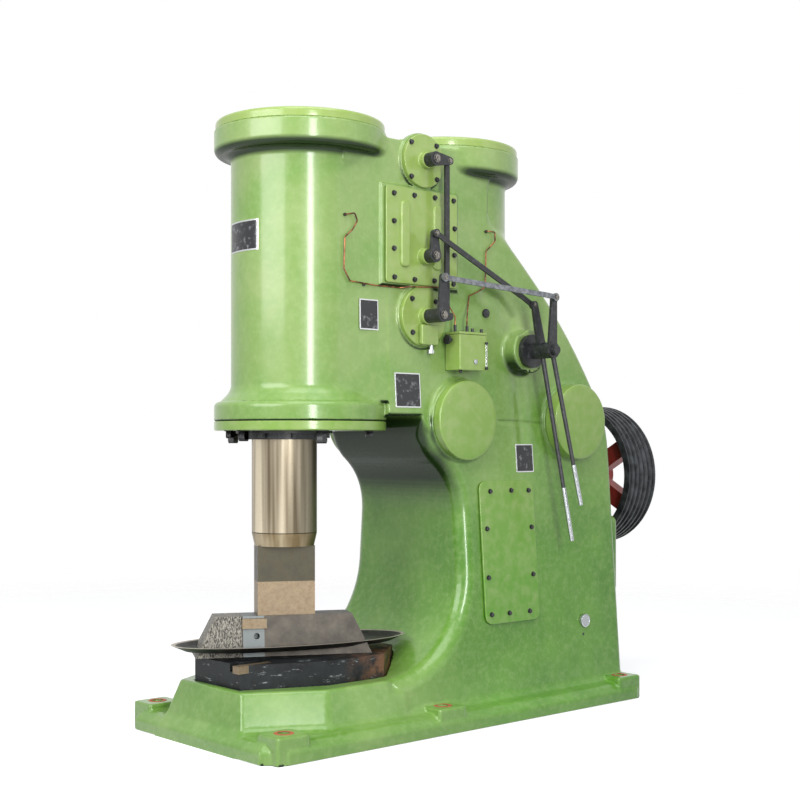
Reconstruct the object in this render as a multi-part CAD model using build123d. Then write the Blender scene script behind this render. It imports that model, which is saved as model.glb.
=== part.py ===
from build123d import *
import os
from math import acos, atan2, cos, hypot, pi, sin, sqrt, tan

# Two-cylinder air forging hammer, millimetres.
# +Z is up, +X runs from the ram back to the belt pulley, and the valve and lever side faces -Y.
# The origin is where the ram's axis meets the floor, on the underside of the frame casting.

# Base flange
BASE_FRONT = -603.0
BASE_REAR = 2296.0
BASE_HALF = 694.0
BASE_LIP = 66.0
BASE_SKIRT_TOP = 112.0
BASE_SKIRT_IN = 52.0
FRONT_CORNER_X = 117.0
FRONT_CORNER_Y = 102.0
REAR_CORNER = 40.0

# Anchor pads and bolt holes
PAD_FROM_FRONT = 151.0
PAD_MIDDLE_X = 655.0
PAD_FROM_REAR = 106.0
PAD_FROM_SIDE = 98.0
PAD_LONG = 210.0
PAD_WIDE = 176.0
PAD_TOP = 146.0
PAD_EDGE = 18.0
PAD_INSET = 4.0
ANCHOR_R = 31.0

# Octagonal pedestal under the anvil, around the casting's own centre line
CASTING_X = 113.0
PEDESTAL_TOP = 312.0
PEDESTAL_TOP_LONG = 612.0
PEDESTAL_TOP_WIDE = 512.0
PEDESTAL_TOP_CUT = (404.0, 225.0)
PEDESTAL_FOOT = 60.0
PEDESTAL_DRAFT = 92.0

# Column
COLUMN_REAR = 2285.0
COLUMN_FOOT_HALF = 560.0
COLUMN_WAIST_HALF = 430.0
WAIST_ABOVE_ROOF = 32.0
CHEST_Z = 2548.0
THROAT_X = 920.0
THROAT_FLOOR_R = 585.0
THROAT_LIP_R = 300.0
THROAT_ROOF = 1768.0
THROAT_CORNER_R = 110.0
THROAT_EDGE_R = 90.0
REAR_EDGE_R = 48.0
SLOPE_TOP = (1360.0, 2860.0)
SLOPE_MID = (1905.0, 2325.0)
SLOPE_LOW = (2195.0, 1900.0)
SLOPE_END_Z = 1560.0
SLOPE_START_FALL = 0.88
BRIDGE_UNDER_SEAT = 34.0
BRIDGE_BLEND = 287.0

# Swelling low on the column's rear face
SWELL_OUT = 92.0
SWELL_LOW = 640.0
SWELL_HIGH = 1140.0
SWELL_HALF = 440.0

# Working cylinder
CYL_BODY_R = 390.0
FRONT_FLANGE_R = 484.0
FLANGE_BELOW_ROOF = 35.0
FOOT_FLANGE_THICK = 109.0
FOOT_FLANGE_SLOPE = 70.0
COVER_SEAT = 3352.0
HEAD_FLANGE_THICK = 140.0
HEAD_FLANGE_NECK = 62.0
COVER_THICK = 53.0
LOWER_COVER_THICK = 53.0
BORE_R = 226.0
BORE_BELOW_SEAT = 62.0

# Compressor cylinder
REAR_CYL_X = 1209.0
REAR_FLANGE_R = 470.0
REAR_FLANGE_THICK = 156.0
REAR_FLANGE_NECK = 66.0
HEAD_OVERLAP = 60.0

# Ram, dies and anvil
ROD_R = 181.5
ROD_END = 1042.0
ROD_TAPER_START = 1112.0
ROD_END_R = 166.0
RAM_TOP = 2560.0
PISTON_DEEP = 210.0
RUN_CLEAR = 0.06
RAM_STROKE = 560.0
PARTING_Z = 846.0
DIE_TURN = -28.0
DIE_LONG = 320.0
DIE_WIDE = 150.0
SOW_TOP = 660.0
DIE_SEAT_DEEP = 20.0
SOW_LONG_TOP = 762.0
SOW_LONG_FOOT = 980.0
SOW_WIDE_TOP = 172.0
SOW_WIDE_FOOT = 230.0
SOW_OFF = -13.0
SOW_HOLE_R = 17.0
SOW_HOLE_PLACE = (-169.0, 551.0)
TRAY_LOW = 478.0
TRAY_RISE = 34.0
TRAY_THICK = 8.0
TRAY_FLAT = (612.0, 225.0)
TRAY_RIM = (690.0, 290.0)
TRAY_CENTRE = (55.0, 8.0)
TRAY_TURN = -17.0
ANVIL_TOP = 440.0
ANVIL_FRONT = -450.0
ANVIL_REAR = 650.0
ANVIL_HALF = 400.0
ANVIL_FRONT_CUT = (445.0, 185.0)
ANVIL_REAR_CUT = (260.0, 225.0)

# Keys that hold the lower die and the sow block
DIE_KEY_X = (-250.0, -115.0)
DIE_KEY_OUT = 41.0
DIE_KEY_Z = (594.0, 648.0)
SOW_KEY_X = (-474.0, -250.0)
SOW_KEY_Y = (-232.0, -178.0)
SOW_KEY_LOW = 398.0
SOW_SLOT_Y = -118.0

# Gland under the working cylinder
GLAND_PLATE_R = 268.0
GLAND_PLATE = 14.0
GLAND_R = 222.0
GLAND_DEEP = 34.0
GLAND_NUTS = 8
NUT_R = 21.0
NUT_DEEP = 26.0

# Round side covers
ROUND_COVER_BELOW_ROOF = 26.0
ROUND_COVER_R = 232.0
FRONT_COVER_X = 948.0
REAR_COVER_X = 1889.0
FRONT_COVER_THICK = 62.0
REAR_COVER_THICK = 96.0
COVER_ROUND = 14.0

# Inspection cover low on the column
INSPECT_X0 = 1060.0
INSPECT_X1 = 1520.0
INSPECT_Z0 = 510.0
INSPECT_Z1 = 1392.0
INSPECT_THICK = 16.0
INSPECT_CORNER = 60.0

# Valves on the bridge between the cylinders
VALVE_X = 661.0
UPPER_VALVE_BELOW_SEAT = 140.0
MIDDLE_VALVE_Z = 2668.0
LOWER_VALVE_Z = 2329.0
UPPER_DISC_R = 152.0
LOWER_DISC_R = 170.0
DISC_THICK = 24.0
VALVE_SEAT = 417.0
VALVE_PAD_LIP = 9.0
CHEST_X0 = 380.0
CHEST_X1 = 925.0
CHEST_Z0 = 2506.0
CHEST_GAP = 14.0
CHEST_PAD_SIDE = 40.0
CHEST_PAD_FOOT = 11.0
CHEST_THICK = 16.0
CHEST_CORNER = 20.0
RIB_X = (516.0, 766.0)
RIB_LONG = 372.0
RIB_Z = 2784.0
RIB_WIDE = 70.0
RIB_HIGH = 14.0
MIDDLE_CAP_R = 112.0
DRAIN_X = (612.0, 742.0)
DRAIN_Z = (2166.0, 2282.0)
DRAIN_DEEP = 34.0
DRAIN_PLUG_R = 17.0
DRAIN_PLUG_LONG = 46.0
VALVE_SHAFT_R = 26.0
VALVE_BOSS_R = 46.0
VALVE_BOSS_FACE = -476.0
HUB_R = 40.0
SHAFT_CLEAR = 0.06

ARM_LONG = 109.0
ARM_WIDE = 44.0
ARM_THICK = 18.0
PIN_R = 9.0
OPEN_HOLE_R = 13.0
EYE_R = 24.0
HUB_FACE = -478.0
UPPER_ARM_Y = (-540.0, -522.0)
MIDDLE_ARM_Y = (-536.0, -518.0)
MIDDLE_PIN = (655.0, 2790.0)
LOWER_ARM_Y = (-600.0, -582.0)
LOWER_PIN = (661.0, 2537.0)
SHAFT_NOSE = 6.0
VALVE_ROD_Y = (-516.0, -501.0)
VALVE_ROD_WIDE = 32.0
INNER_LINK_FRONT_Y = (-552.0, -540.0)
INNER_LINK_REAR_Y = (-590.0, -578.0)
OUTER_LINK_FRONT_Y = (-616.0, -604.0)
OUTER_LINK_REAR_Y = (-708.0, -696.0)
LINK_HIGH = 30.0

# Levers
LEVER_X = 1464.0
LEVER_Z = 2162.0
LEVER_BOSS_R = 136.0
LEVER_BOSS_FACE = -506.0
LEVER_FLANGE_R = 100.0
LEVER_FLANGE_FACE = -534.0
LEVER_SHAFT_R = 27.0
LEVER_SHAFT_END = -726.0
LEVER_HUB_R = 48.0
LEVER_NUT_R = 32.0
LEVER_NUT = 14.0
INNER_HUB_Y = (-628.0, -560.0)
INNER_ARM_Y = (-610.0, -592.0)
INNER_TOP = (1400.0, 2432.0)
INNER_TIP = (1609.0, -712.0, 1026.0)
INNER_GRIP = 0.72
OUTER_HUB_Y = (-700.0, -634.0)
OUTER_ARM_Y = (-692.0, -674.0)
OUTER_TOP = (1478.0, 2475.0)
OUTER_TIP = (1621.0, -772.0, 1241.0)
OUTER_GRIP = 0.74
HANDLE_R = 15.0
HANDLE_THIN_R = 12.0
GRIP_R = 14.0

# Lubricator
LUBE_X = (842.0, 1061.0)
LUBE_FACE = -541.0
LUBE_Z = (2030.0, 2250.0)
LUBE_CRANK_R = 27.0
LUBE_CRANK = (2204.0, 14.0)
LUBE_FITTING_R = 9.0
LUBE_FITTING_TOP = 2290.0
LUBE_FITTING_XY = ((866.0, -476.0), (962.0, -476.0))
LUBE_KNOB_XY = ((962.0, -520.0), (1035.0, -520.0))
LUBE_KNOB_TOP = 2272.0
GAUGE_X = 1050.0
GAUGE_R = 7.0
GAUGE_Z = (2046.0, 2186.0)

# Oil pipes, their fittings on the cylinders and the round plugs
OIL_PIPE_R = 4.0
OIL_BEND_R = 16.0
WALL_FITTING_R = 9.0
WALL_FITTING_OUT = 12.0
FRONT_FITTING = (113.0, 2855.0)
REAR_FITTING = (1187.0, 2867.0)
FRONT_PIPE = (
    (165.0, -416.0, 2866.0), (190.0, -410.0, 2828.0), (160.0, -405.0, 2778.0), (106.0, -404.0, 2732.0),
    (99.0, -404.0, 2560.0), (140.0, -406.0, 2496.0), (322.0, -408.0, 2484.0), (500.0, -408.0, 2484.0),
    (560.0, -449.0, 2490.0), (786.0, -449.0, 2502.0), (840.0, -452.0, 2400.0),
)
REAR_PIPE = (
    (1250.0, -421.0, 2868.0), (1256.0, -416.0, 2815.0), (1182.0, -412.0, 2748.0), (1176.0, -412.0, 2536.0),
    (1096.0, -414.0, 2496.0), (1036.0, -418.0, 2474.0), (1010.0, -432.0, 2390.0),
)
PLUG_R = 26.0
PLUG_OUT = 12.0
PLUG_PLACE = (1184.0, 2381.0)
SIGHT_R = 41.0
SIGHT_PLACE = (1926.0, 506.0)
SIGHT_GAP = 0.3

# Crankshaft end and belt pulley
SHAFT_Z = 1394.0
SHAFT_R = 70.0
PULLEY_R = 462.0
PULLEY_X0 = 2460.0
PULLEY_X1 = 2729.0
PULLEY_RIM = 46.0
PULLEY_HUB_R = 128.0
PULLEY_ARMS = 6
GROOVES = 6
GROOVE_DEEP = 17.0
BEARING_R = 205.0
BEARING_OUT = 56.0


# Places that follow from the sizes above
PAD_X = (BASE_FRONT + PAD_FROM_FRONT, PAD_MIDDLE_X, BASE_REAR - PAD_FROM_REAR)
PAD_Y = BASE_HALF - PAD_FROM_SIDE
COLUMN_WAIST_Z = THROAT_ROOF + WAIST_ABOVE_ROOF
ROUND_COVER_Z = THROAT_ROOF - ROUND_COVER_BELOW_ROOF
FRONT_BOTTOM = THROAT_ROOF - FLANGE_BELOW_ROOF
FRONT_SHOULDER = FRONT_BOTTOM + FOOT_FLANGE_THICK
FRONT_SHOULDER_TOP = FRONT_SHOULDER + FOOT_FLANGE_SLOPE
LOWER_COVER_BOTTOM = FRONT_BOTTOM - LOWER_COVER_THICK
BRIDGE_TOP = COVER_SEAT - BRIDGE_UNDER_SEAT
BORE_TOP = COVER_SEAT - BORE_BELOW_SEAT
MACHINE_TOP = COVER_SEAT + COVER_THICK
UPPER_VALVE_Z = COVER_SEAT - UPPER_VALVE_BELOW_SEAT
CHEST_Z1 = UPPER_VALVE_Z - UPPER_DISC_R - CHEST_GAP

# Half width of the bridge where the sides have turned upright
LEAN = atan2(COLUMN_FOOT_HALF - COLUMN_WAIST_HALF, COLUMN_WAIST_Z - BASE_LIP)
CHEST_HALF = COLUMN_WAIST_HALF - (CHEST_Z - COLUMN_WAIST_Z) * tan(LEAN / 2)
BEND_R = (CHEST_Z - COLUMN_WAIST_Z) / sin(LEAN)


def at(x, y, z):
    """A place in the machine's own frame."""
    return Location((x, y, z))


def along_y(radius, x, z, y_from, y_to):
    """A round bar parallel to Y between two y values."""
    bar = Cylinder(radius, abs(y_to - y_from), rotation=(90, 0, 0))
    return at(x, (y_from + y_to) / 2, z) * bar


def along_x(radius, y, z, x_from, x_to):
    """A round bar parallel to X between two x values."""
    bar = Cylinder(radius, abs(x_to - x_from), rotation=(0, 90, 0))
    return at((x_from + x_to) / 2, y, z) * bar


def upright(radius, x, y, z_from, z_to):
    """A round bar parallel to Z between two heights."""
    return at(x, y, (z_from + z_to) / 2) * Cylinder(radius, abs(z_to - z_from))


def block(x0, x1, y0, y1, z0, z1):
    """A rectangular block between two corners."""
    return at((x0 + x1) / 2, (y0 + y1) / 2, (z0 + z1) / 2) * Box(x1 - x0, y1 - y0, z1 - z0)


def octagon(cx, half_x, half_y, cut_x, cut_y, z):
    """A rectangle with its four corners cut off, as a face at height z."""
    points = [
        (cx - half_x, -half_y + cut_y),
        (cx - half_x + cut_x, -half_y),
        (cx + half_x - cut_x, -half_y),
        (cx + half_x, -half_y + cut_y),
        (cx + half_x, half_y - cut_y),
        (cx + half_x - cut_x, half_y),
        (cx - half_x + cut_x, half_y),
        (cx - half_x, half_y - cut_y),
    ]
    return at(0, 0, z) * make_face(Polyline(*points, close=True))


def half_width(z):
    """Half the column's width at height z: a leaning side, a bend, then an upright side."""
    if z <= COLUMN_WAIST_Z:
        return COLUMN_FOOT_HALF - (z - BASE_LIP) * tan(LEAN)
    if z >= CHEST_Z:
        return CHEST_HALF
    return CHEST_HALF + BEND_R - sqrt(BEND_R**2 - (CHEST_Z - z) ** 2)


def base_outline():
    """Outline of the floor flange with its four corners cut off."""
    rear = BASE_REAR
    points = [
        (BASE_FRONT, -BASE_HALF + FRONT_CORNER_Y),
        (BASE_FRONT + FRONT_CORNER_X, -BASE_HALF),
        (rear - REAR_CORNER, -BASE_HALF),
        (rear, -BASE_HALF + REAR_CORNER),
        (rear, BASE_HALF - REAR_CORNER),
        (rear - REAR_CORNER, BASE_HALF),
        (BASE_FRONT + FRONT_CORNER_X, BASE_HALF),
        (BASE_FRONT, BASE_HALF - FRONT_CORNER_Y),
    ]
    return make_face(Polyline(*points, close=True))


def base_flange():
    """Floor flange: a plate with a vertical lip and a sloping upper face."""
    plate = extrude(base_outline(), amount=BASE_SKIRT_TOP)
    rim = plate.faces().sort_by(Axis.Z)[-1].edges()
    return chamfer(rim, BASE_SKIRT_TOP - BASE_LIP, BASE_SKIRT_IN)


def pedestal():
    """Octagonal pedestal with drafted sides."""
    top = octagon(CASTING_X, PEDESTAL_TOP_LONG, PEDESTAL_TOP_WIDE, *PEDESTAL_TOP_CUT, PEDESTAL_TOP)
    foot = octagon(
        CASTING_X, PEDESTAL_TOP_LONG + PEDESTAL_DRAFT * 0.7, PEDESTAL_TOP_WIDE + PEDESTAL_DRAFT,
        *PEDESTAL_TOP_CUT, PEDESTAL_FOOT)
    return loft([foot, top])


def throat_outline():
    """The column's side outline, from the pedestal round the throat and over the back."""
    quarter = pi / 4
    floor_x = THROAT_X - THROAT_FLOOR_R
    wall_foot = PEDESTAL_TOP + THROAT_FLOOR_R
    floor_mid = (THROAT_X - THROAT_FLOOR_R * (1 - cos(quarter)), wall_foot - THROAT_FLOOR_R * sin(quarter))
    lip_turn = acos((FRONT_COVER_X - THROAT_X) / THROAT_LIP_R)
    lip_foot = (THROAT_X, ROUND_COVER_Z - THROAT_LIP_R * sin(lip_turn))
    lip_mid = (
        FRONT_COVER_X - THROAT_LIP_R * cos(lip_turn / 2),
        ROUND_COVER_Z - THROAT_LIP_R * sin(lip_turn / 2),
    )
    lip_top = (FRONT_COVER_X - THROAT_LIP_R, ROUND_COVER_Z)
    roof = (lip_top[0], THROAT_ROOF)
    inside_x = CASTING_X + BRIDGE_BLEND
    slope = Spline(
        SLOPE_TOP, SLOPE_MID, SLOPE_LOW, (COLUMN_REAR, SLOPE_END_Z),
        tangents=((1, -SLOPE_START_FALL), (0, -1)))
    face = make_face([
        Line((floor_x, BASE_LIP), (floor_x, PEDESTAL_TOP)),
        ThreePointArc((floor_x, PEDESTAL_TOP), floor_mid, (THROAT_X, wall_foot)),
        Line((THROAT_X, wall_foot), lip_foot),
        ThreePointArc(lip_foot, lip_mid, lip_top),
        Line(lip_top, roof),
        Line(roof, (inside_x, THROAT_ROOF)),
        Line((inside_x, THROAT_ROOF), (inside_x, BRIDGE_TOP)),
        Line((inside_x, BRIDGE_TOP), (REAR_CYL_X, BRIDGE_TOP)),
        Line((REAR_CYL_X, BRIDGE_TOP), (REAR_CYL_X, SLOPE_TOP[1] + 120)),
        Line((REAR_CYL_X, SLOPE_TOP[1] + 120), SLOPE_TOP),
        slope,
        Line((COLUMN_REAR, SLOPE_END_Z), (COLUMN_REAR, BASE_LIP)),
        Line((COLUMN_REAR, BASE_LIP), (floor_x, BASE_LIP)),
    ])
    corner = face.vertices().sort_by_distance((*lip_foot, 0))[0]
    return fillet(corner, THROAT_CORNER_R)


def column():
    """The C-shaped column and the bridge, wide at the foot and narrow at the valves."""
    side = extrude(Plane.XZ * throat_outline(), amount=BASE_HALF, both=True)
    mid_z = (COLUMN_WAIST_Z + CHEST_Z) / 2
    bend_mid = (half_width(mid_z), mid_z)
    half_outline = [
        Line((0, BASE_LIP), (COLUMN_FOOT_HALF, BASE_LIP)),
        Line((COLUMN_FOOT_HALF, BASE_LIP), (COLUMN_WAIST_HALF, COLUMN_WAIST_Z)),
        ThreePointArc((COLUMN_WAIST_HALF, COLUMN_WAIST_Z), bend_mid, (CHEST_HALF, CHEST_Z)),
        Line((CHEST_HALF, CHEST_Z), (CHEST_HALF, BRIDGE_TOP)),
        Line((CHEST_HALF, BRIDGE_TOP), (0, BRIDGE_TOP)),
        Line((0, BRIDGE_TOP), (0, BASE_LIP)),
    ]
    half = extrude(Plane.YZ * make_face(half_outline), amount=COLUMN_REAR + SWELL_OUT)
    return side & (half + mirror(half, Plane.XZ))


def soften_column(body):
    """Round the throat's side edges and the edges of the back."""
    def on_throat(edge):
        c = edge @ 0.5
        return abs(c.Y) > CHEST_HALF - 5 and c.X < THROAT_X + 5 and PEDESTAL_TOP - 5 < c.Z < THROAT_ROOF - 1

    def on_back(edge):
        c = edge @ 0.5
        rises = abs((edge @ 0).Z - (edge @ 1).Z) > 1
        return abs(c.Y) > CHEST_HALF - 5 and c.X > SLOPE_TOP[0] and BASE_LIP + 5 < c.Z < SLOPE_TOP[1] and rises

    body = fillet(body.edges().filter_by(on_throat), THROAT_EDGE_R)
    return fillet(body.edges().filter_by(on_back), REAR_EDGE_R)


def turned(cx, profile):
    """A body turned about a cylinder's axis from its half profile."""
    return at(cx, 0, 0) * revolve(Plane.XZ * make_face(profile), Axis.Z)


def head_flange(cx, flange_r, flange_thick, neck_long):
    """Upper end of a cylinder: the wall, the curved neck and the thick flange under the cover."""
    r = CYL_BODY_R
    under = COVER_SEAT - flange_thick
    neck = under - neck_long
    low = neck - HEAD_OVERLAP
    return turned(cx, [
        Line((0, low), (r, low)),
        Line((r, low), (r, neck)),
        ThreePointArc((r, neck), (r + 12, under - 26), (r + 40, under - 8)),
        Line((r + 40, under - 8), (flange_r - 30, under)),
        ThreePointArc((flange_r - 30, under), (flange_r - 9, under + 9), (flange_r, under + 30)),
        Line((flange_r, under + 30), (flange_r, COVER_SEAT)),
        Line((flange_r, COVER_SEAT), (0, COVER_SEAT)),
        Line((0, COVER_SEAT), (0, low)),
    ])


def foot_flange():
    """Lower end of the working cylinder: flange, rounded shoulder and the start of the wall."""
    r = CYL_BODY_R
    wide = FRONT_FLANGE_R
    low, shoulder, top = FRONT_BOTTOM, FRONT_SHOULDER, FRONT_SHOULDER_TOP
    return turned(CASTING_X, [
        Line((0, low), (wide - 16, low)),
        ThreePointArc((wide - 16, low), (wide - 4.7, low + 4.7), (wide, low + 16)),
        Line((wide, low + 16), (wide, shoulder - 34)),
        ThreePointArc((wide, shoulder - 34), (wide - 10, shoulder - 10), (wide - 34, shoulder)),
        Line((wide - 34, shoulder), (r + 14, top - 22)),
        ThreePointArc((r + 14, top - 22), (r + 4, top - 4), (r, top + 24)),
        Line((r, top + 24), (r, top + HEAD_OVERLAP)),
        Line((r, top + HEAD_OVERLAP), (0, top + HEAD_OVERLAP)),
        Line((0, top + HEAD_OVERLAP), (0, low)),
    ])


def bridge_blend():
    """Stretch of the bridge that runs from the working cylinder's sides out to its own width."""
    end_x = CASTING_X + BRIDGE_BLEND
    levels = []
    for z, wide in ((FRONT_SHOULDER, half_width(FRONT_SHOULDER)), (CHEST_Z, CHEST_HALF)):
        points = [(CASTING_X, -CYL_BODY_R), (end_x, -wide), (end_x, wide), (CASTING_X, CYL_BODY_R)]
        levels.append(at(0, 0, z) * make_face(Polyline(*points, close=True)))
    return loft(levels) + extrude(levels[1], amount=BRIDGE_TOP - CHEST_Z)


def valve_pads():
    """Raised pads on the bridge's sides that the valve covers are bolted to."""
    pads = []
    for side in (-1, 1):
        root = side * (CHEST_HALF - 30)
        face = side * VALVE_SEAT
        pads.append(along_y(UPPER_DISC_R + VALVE_PAD_LIP, VALVE_X, UPPER_VALVE_Z, root, face))
        pads.append(along_y(LOWER_DISC_R + VALVE_PAD_LIP, VALVE_X, LOWER_VALVE_Z, root, face))
    pads.append(along_y(MIDDLE_CAP_R + VALVE_PAD_LIP, VALVE_X, MIDDLE_VALVE_Z, CHEST_HALF - 30, VALVE_SEAT))
    chest = block(
        CHEST_X0 - CHEST_PAD_SIDE, CHEST_X1 + CHEST_PAD_SIDE, -VALVE_SEAT, 30 - CHEST_HALF,
        CHEST_Z0 - CHEST_PAD_FOOT, CHEST_Z1 + CHEST_PAD_FOOT)
    pads.append(fillet(chest.edges().filter_by(Axis.Y), CHEST_CORNER))
    return pads


def anchor_pads():
    """Six raised pads for the foundation bolts, kept inside the flange's outline."""
    pads = []
    inside = extrude(offset(base_outline(), -PAD_INSET), amount=PAD_TOP)
    for x in PAD_X:
        for side in (-1, 1):
            pad = block(x - PAD_LONG / 2, x + PAD_LONG / 2, -PAD_WIDE / 2, PAD_WIDE / 2, BASE_LIP / 2, PAD_TOP)
            pad = fillet(pad.edges().filter_by(Axis.Z), PAD_EDGE)
            pad = fillet(pad.faces().sort_by(Axis.Z)[-1].edges(), PAD_EDGE * 0.6)
            pads.append(at(0, side * PAD_Y, 0) * pad & inside)
    return pads


def frame_casting():
    """Base, pedestal, column, bridge and both cylinders, cast in one piece."""
    body = soften_column(column())
    cylinders = [
        foot_flange(),
        upright(CYL_BODY_R, CASTING_X, 0, FRONT_SHOULDER_TOP, BRIDGE_TOP),
        head_flange(CASTING_X, FRONT_FLANGE_R, HEAD_FLANGE_THICK, HEAD_FLANGE_NECK),
        upright(CYL_BODY_R, REAR_CYL_X, 0, COLUMN_WAIST_Z, BRIDGE_TOP),
        head_flange(REAR_CYL_X, REAR_FLANGE_R, REAR_FLANGE_THICK, REAR_FLANGE_NECK),
    ]
    swell = block(COLUMN_REAR - 60, COLUMN_REAR + SWELL_OUT, -SWELL_HALF, SWELL_HALF, SWELL_LOW, SWELL_HIGH)
    swell = fillet(swell.faces().sort_by(Axis.X)[-1].edges(), 46)
    boss = along_y(LEVER_BOSS_R, LEVER_X, LEVER_Z, -CHEST_HALF + 20, LEVER_BOSS_FACE)
    boss = fillet(boss.faces().sort_by(Axis.Y)[0].edges(), 12)
    bosses = [cover_boss(x, side) for x in (FRONT_COVER_X, REAR_COVER_X) for side in (-1, 1)]
    body = body + [base_flange(), pedestal(), bridge_blend(), swell, boss]
    body = body + cylinders + bosses + valve_pads() + anchor_pads()
    cuts = [upright(BORE_R, 0, 0, FRONT_BOTTOM - 1, BORE_TOP)]
    cuts.append(anvil_prism(-1, ANVIL_TOP + 300))
    for x in PAD_X:
        for side in (-1, 1):
            cuts.append(upright(ANCHOR_R, x, side * PAD_Y, -1, PAD_TOP + 1))
    cuts.append(along_x(SHAFT_R + 8, 0, SHAFT_Z, COLUMN_REAR - 160, COLUMN_REAR + 1))
    cuts.append(along_y(LEVER_SHAFT_R + 3, LEVER_X, LEVER_Z, LEVER_BOSS_FACE + 40, LEVER_BOSS_FACE - 1))
    return body - cuts


def anvil_prism(z_from, z_to):
    """The anvil's octagon between two heights."""
    front_x, front_y = ANVIL_FRONT_CUT
    rear_x, rear_y = ANVIL_REAR_CUT
    half = [
        (ANVIL_FRONT, -ANVIL_HALF + front_y), (ANVIL_FRONT + front_x, -ANVIL_HALF),
        (ANVIL_REAR - rear_x, -ANVIL_HALF), (ANVIL_REAR, -ANVIL_HALF + rear_y),
    ]
    points = half + [(x, -y) for x, y in reversed(half)]
    face = at(0, 0, z_from) * make_face(Polyline(*points, close=True))
    return extrude(face, amount=z_to - z_from)


def cylinder_cover(cx, radius):
    """Disc that closes the top of one cylinder."""
    disc = upright(radius, cx, 0, COVER_SEAT, MACHINE_TOP)
    return fillet(disc.faces().sort_by(Axis.Z)[-1].edges(), 20)


def lower_cover():
    """Ring that closes the bottom of the working cylinder."""
    disc = upright(FRONT_FLANGE_R, CASTING_X, 0, LOWER_COVER_BOTTOM, FRONT_BOTTOM)
    disc = fillet(disc.faces().sort_by(Axis.Z)[0].edges(), 10)
    return disc - upright(ROD_R + 9, 0, 0, LOWER_COVER_BOTTOM - 1, FRONT_BOTTOM + 1)


def rod_gland():
    """Gland plate, gland ring and the nuts that pull it up round the ram."""
    low = LOWER_COVER_BOTTOM
    ring = upright(GLAND_PLATE_R, 0, 0, low - GLAND_PLATE, low)
    ring += upright(GLAND_R, 0, 0, low - GLAND_PLATE - GLAND_DEEP, low - GLAND_PLATE)
    for i in range(GLAND_NUTS):
        turn = 2 * pi * (i + 0.5) / GLAND_NUTS
        r = (GLAND_R + GLAND_PLATE_R) / 2 - 1
        x, y = r * cos(turn), r * sin(turn)
        nut = extrude(at(x, y, low - GLAND_PLATE - NUT_DEEP) * RegularPolygon(NUT_R, 6), amount=NUT_DEEP)
        ring += nut
    return ring - upright(ROD_R + RUN_CLEAR, 0, 0, low - 100, low + 1)


def ram_rod():
    """Ram with its piston head, forged in one piece."""
    profile = [
        Line((0, ROD_END), (ROD_END_R, ROD_END)),
        Line((ROD_END_R, ROD_END), (ROD_R, ROD_TAPER_START)),
        Line((ROD_R, ROD_TAPER_START), (ROD_R, RAM_TOP - PISTON_DEEP)),
        Line((ROD_R, RAM_TOP - PISTON_DEEP), (BORE_R - RUN_CLEAR, RAM_TOP - PISTON_DEEP)),
        Line((BORE_R - RUN_CLEAR, RAM_TOP - PISTON_DEEP), (BORE_R - RUN_CLEAR, RAM_TOP)),
        Line((BORE_R - RUN_CLEAR, RAM_TOP), (0, RAM_TOP)),
        Line((0, RAM_TOP), (0, ROD_END)),
    ]
    return revolve(Plane.XZ * make_face(profile), Axis.Z)


def turned_block(long_side, wide_side, z_from, z_to):
    """A block on the ram's axis, turned as the dies are."""
    bar = Box(long_side, wide_side, z_to - z_from)
    return at(0, 0, (z_from + z_to) / 2) * Rot(0, 0, DIE_TURN) * bar


def upper_die():
    """Die keyed into the ram's lower end."""
    return turned_block(DIE_LONG, DIE_WIDE, PARTING_Z, ROD_END)


def lower_die():
    """Die that stands in the sow block's seat."""
    return turned_block(DIE_LONG, DIE_WIDE, SOW_TOP - DIE_SEAT_DEEP, PARTING_Z)


def sow_body():
    """Tapered block between the anvil and the lower die, before its seat and holes are cut."""
    turn = Rot(0, 0, DIE_TURN)
    foot = at(0, 0, ANVIL_TOP) * turn * at(SOW_OFF, 0, 0) * Rectangle(SOW_LONG_FOOT, SOW_WIDE_FOOT)
    top = at(0, 0, SOW_TOP) * turn * at(SOW_OFF, 0, 0) * Rectangle(SOW_LONG_TOP, SOW_WIDE_TOP)
    return loft([foot, top])


def die_key():
    """Key driven in beside the lower die, along its long front side."""
    x0, x1 = DIE_KEY_X
    side = -DIE_WIDE / 2
    return Rot(0, 0, DIE_TURN) * block(x0, x1, side - DIE_KEY_OUT, side, *DIE_KEY_Z)


def sow_block():
    """Sow block with the die's seat, the key's pocket and a lifting hole."""
    x, z = SOW_HOLE_PLACE
    hole = Rot(0, 0, DIE_TURN) * along_y(SOW_HOLE_R, x, z, -SOW_WIDE_FOOT, -SOW_WIDE_TOP / 2 + 30)
    seat = turned_block(DIE_LONG, DIE_WIDE, SOW_TOP - DIE_SEAT_DEEP, SOW_TOP + 1)
    return sow_body() - [seat, die_key(), hole]


def scale_tray():
    """Shallow oval dish round the sow block that catches scale."""
    rim_z = TRAY_LOW + TRAY_RISE
    dish = loft([at(0, 0, TRAY_LOW) * Ellipse(*TRAY_FLAT), at(0, 0, rim_z) * Ellipse(*TRAY_RIM)])
    hollow = at(0, 0, TRAY_THICK) * dish
    place = at(*TRAY_CENTRE, 0) * Rot(0, 0, TRAY_TURN)
    return place * (dish - hollow) - sow_body()


def sow_key():
    """Key in the anvil's slot, driven in against the sow block."""
    return block(*SOW_KEY_X, *SOW_KEY_Y, SOW_KEY_LOW, ANVIL_TOP - 2)


def anvil_block():
    """Octagonal anvil that stands in the base's opening, with the key's slot in its upper face."""
    slot = block(ANVIL_FRONT - 1, SOW_KEY_X[1], SOW_KEY_Y[0], SOW_SLOT_Y, SOW_KEY_LOW, ANVIL_TOP + 1)
    return anvil_prism(0, ANVIL_TOP) - slot


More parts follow.
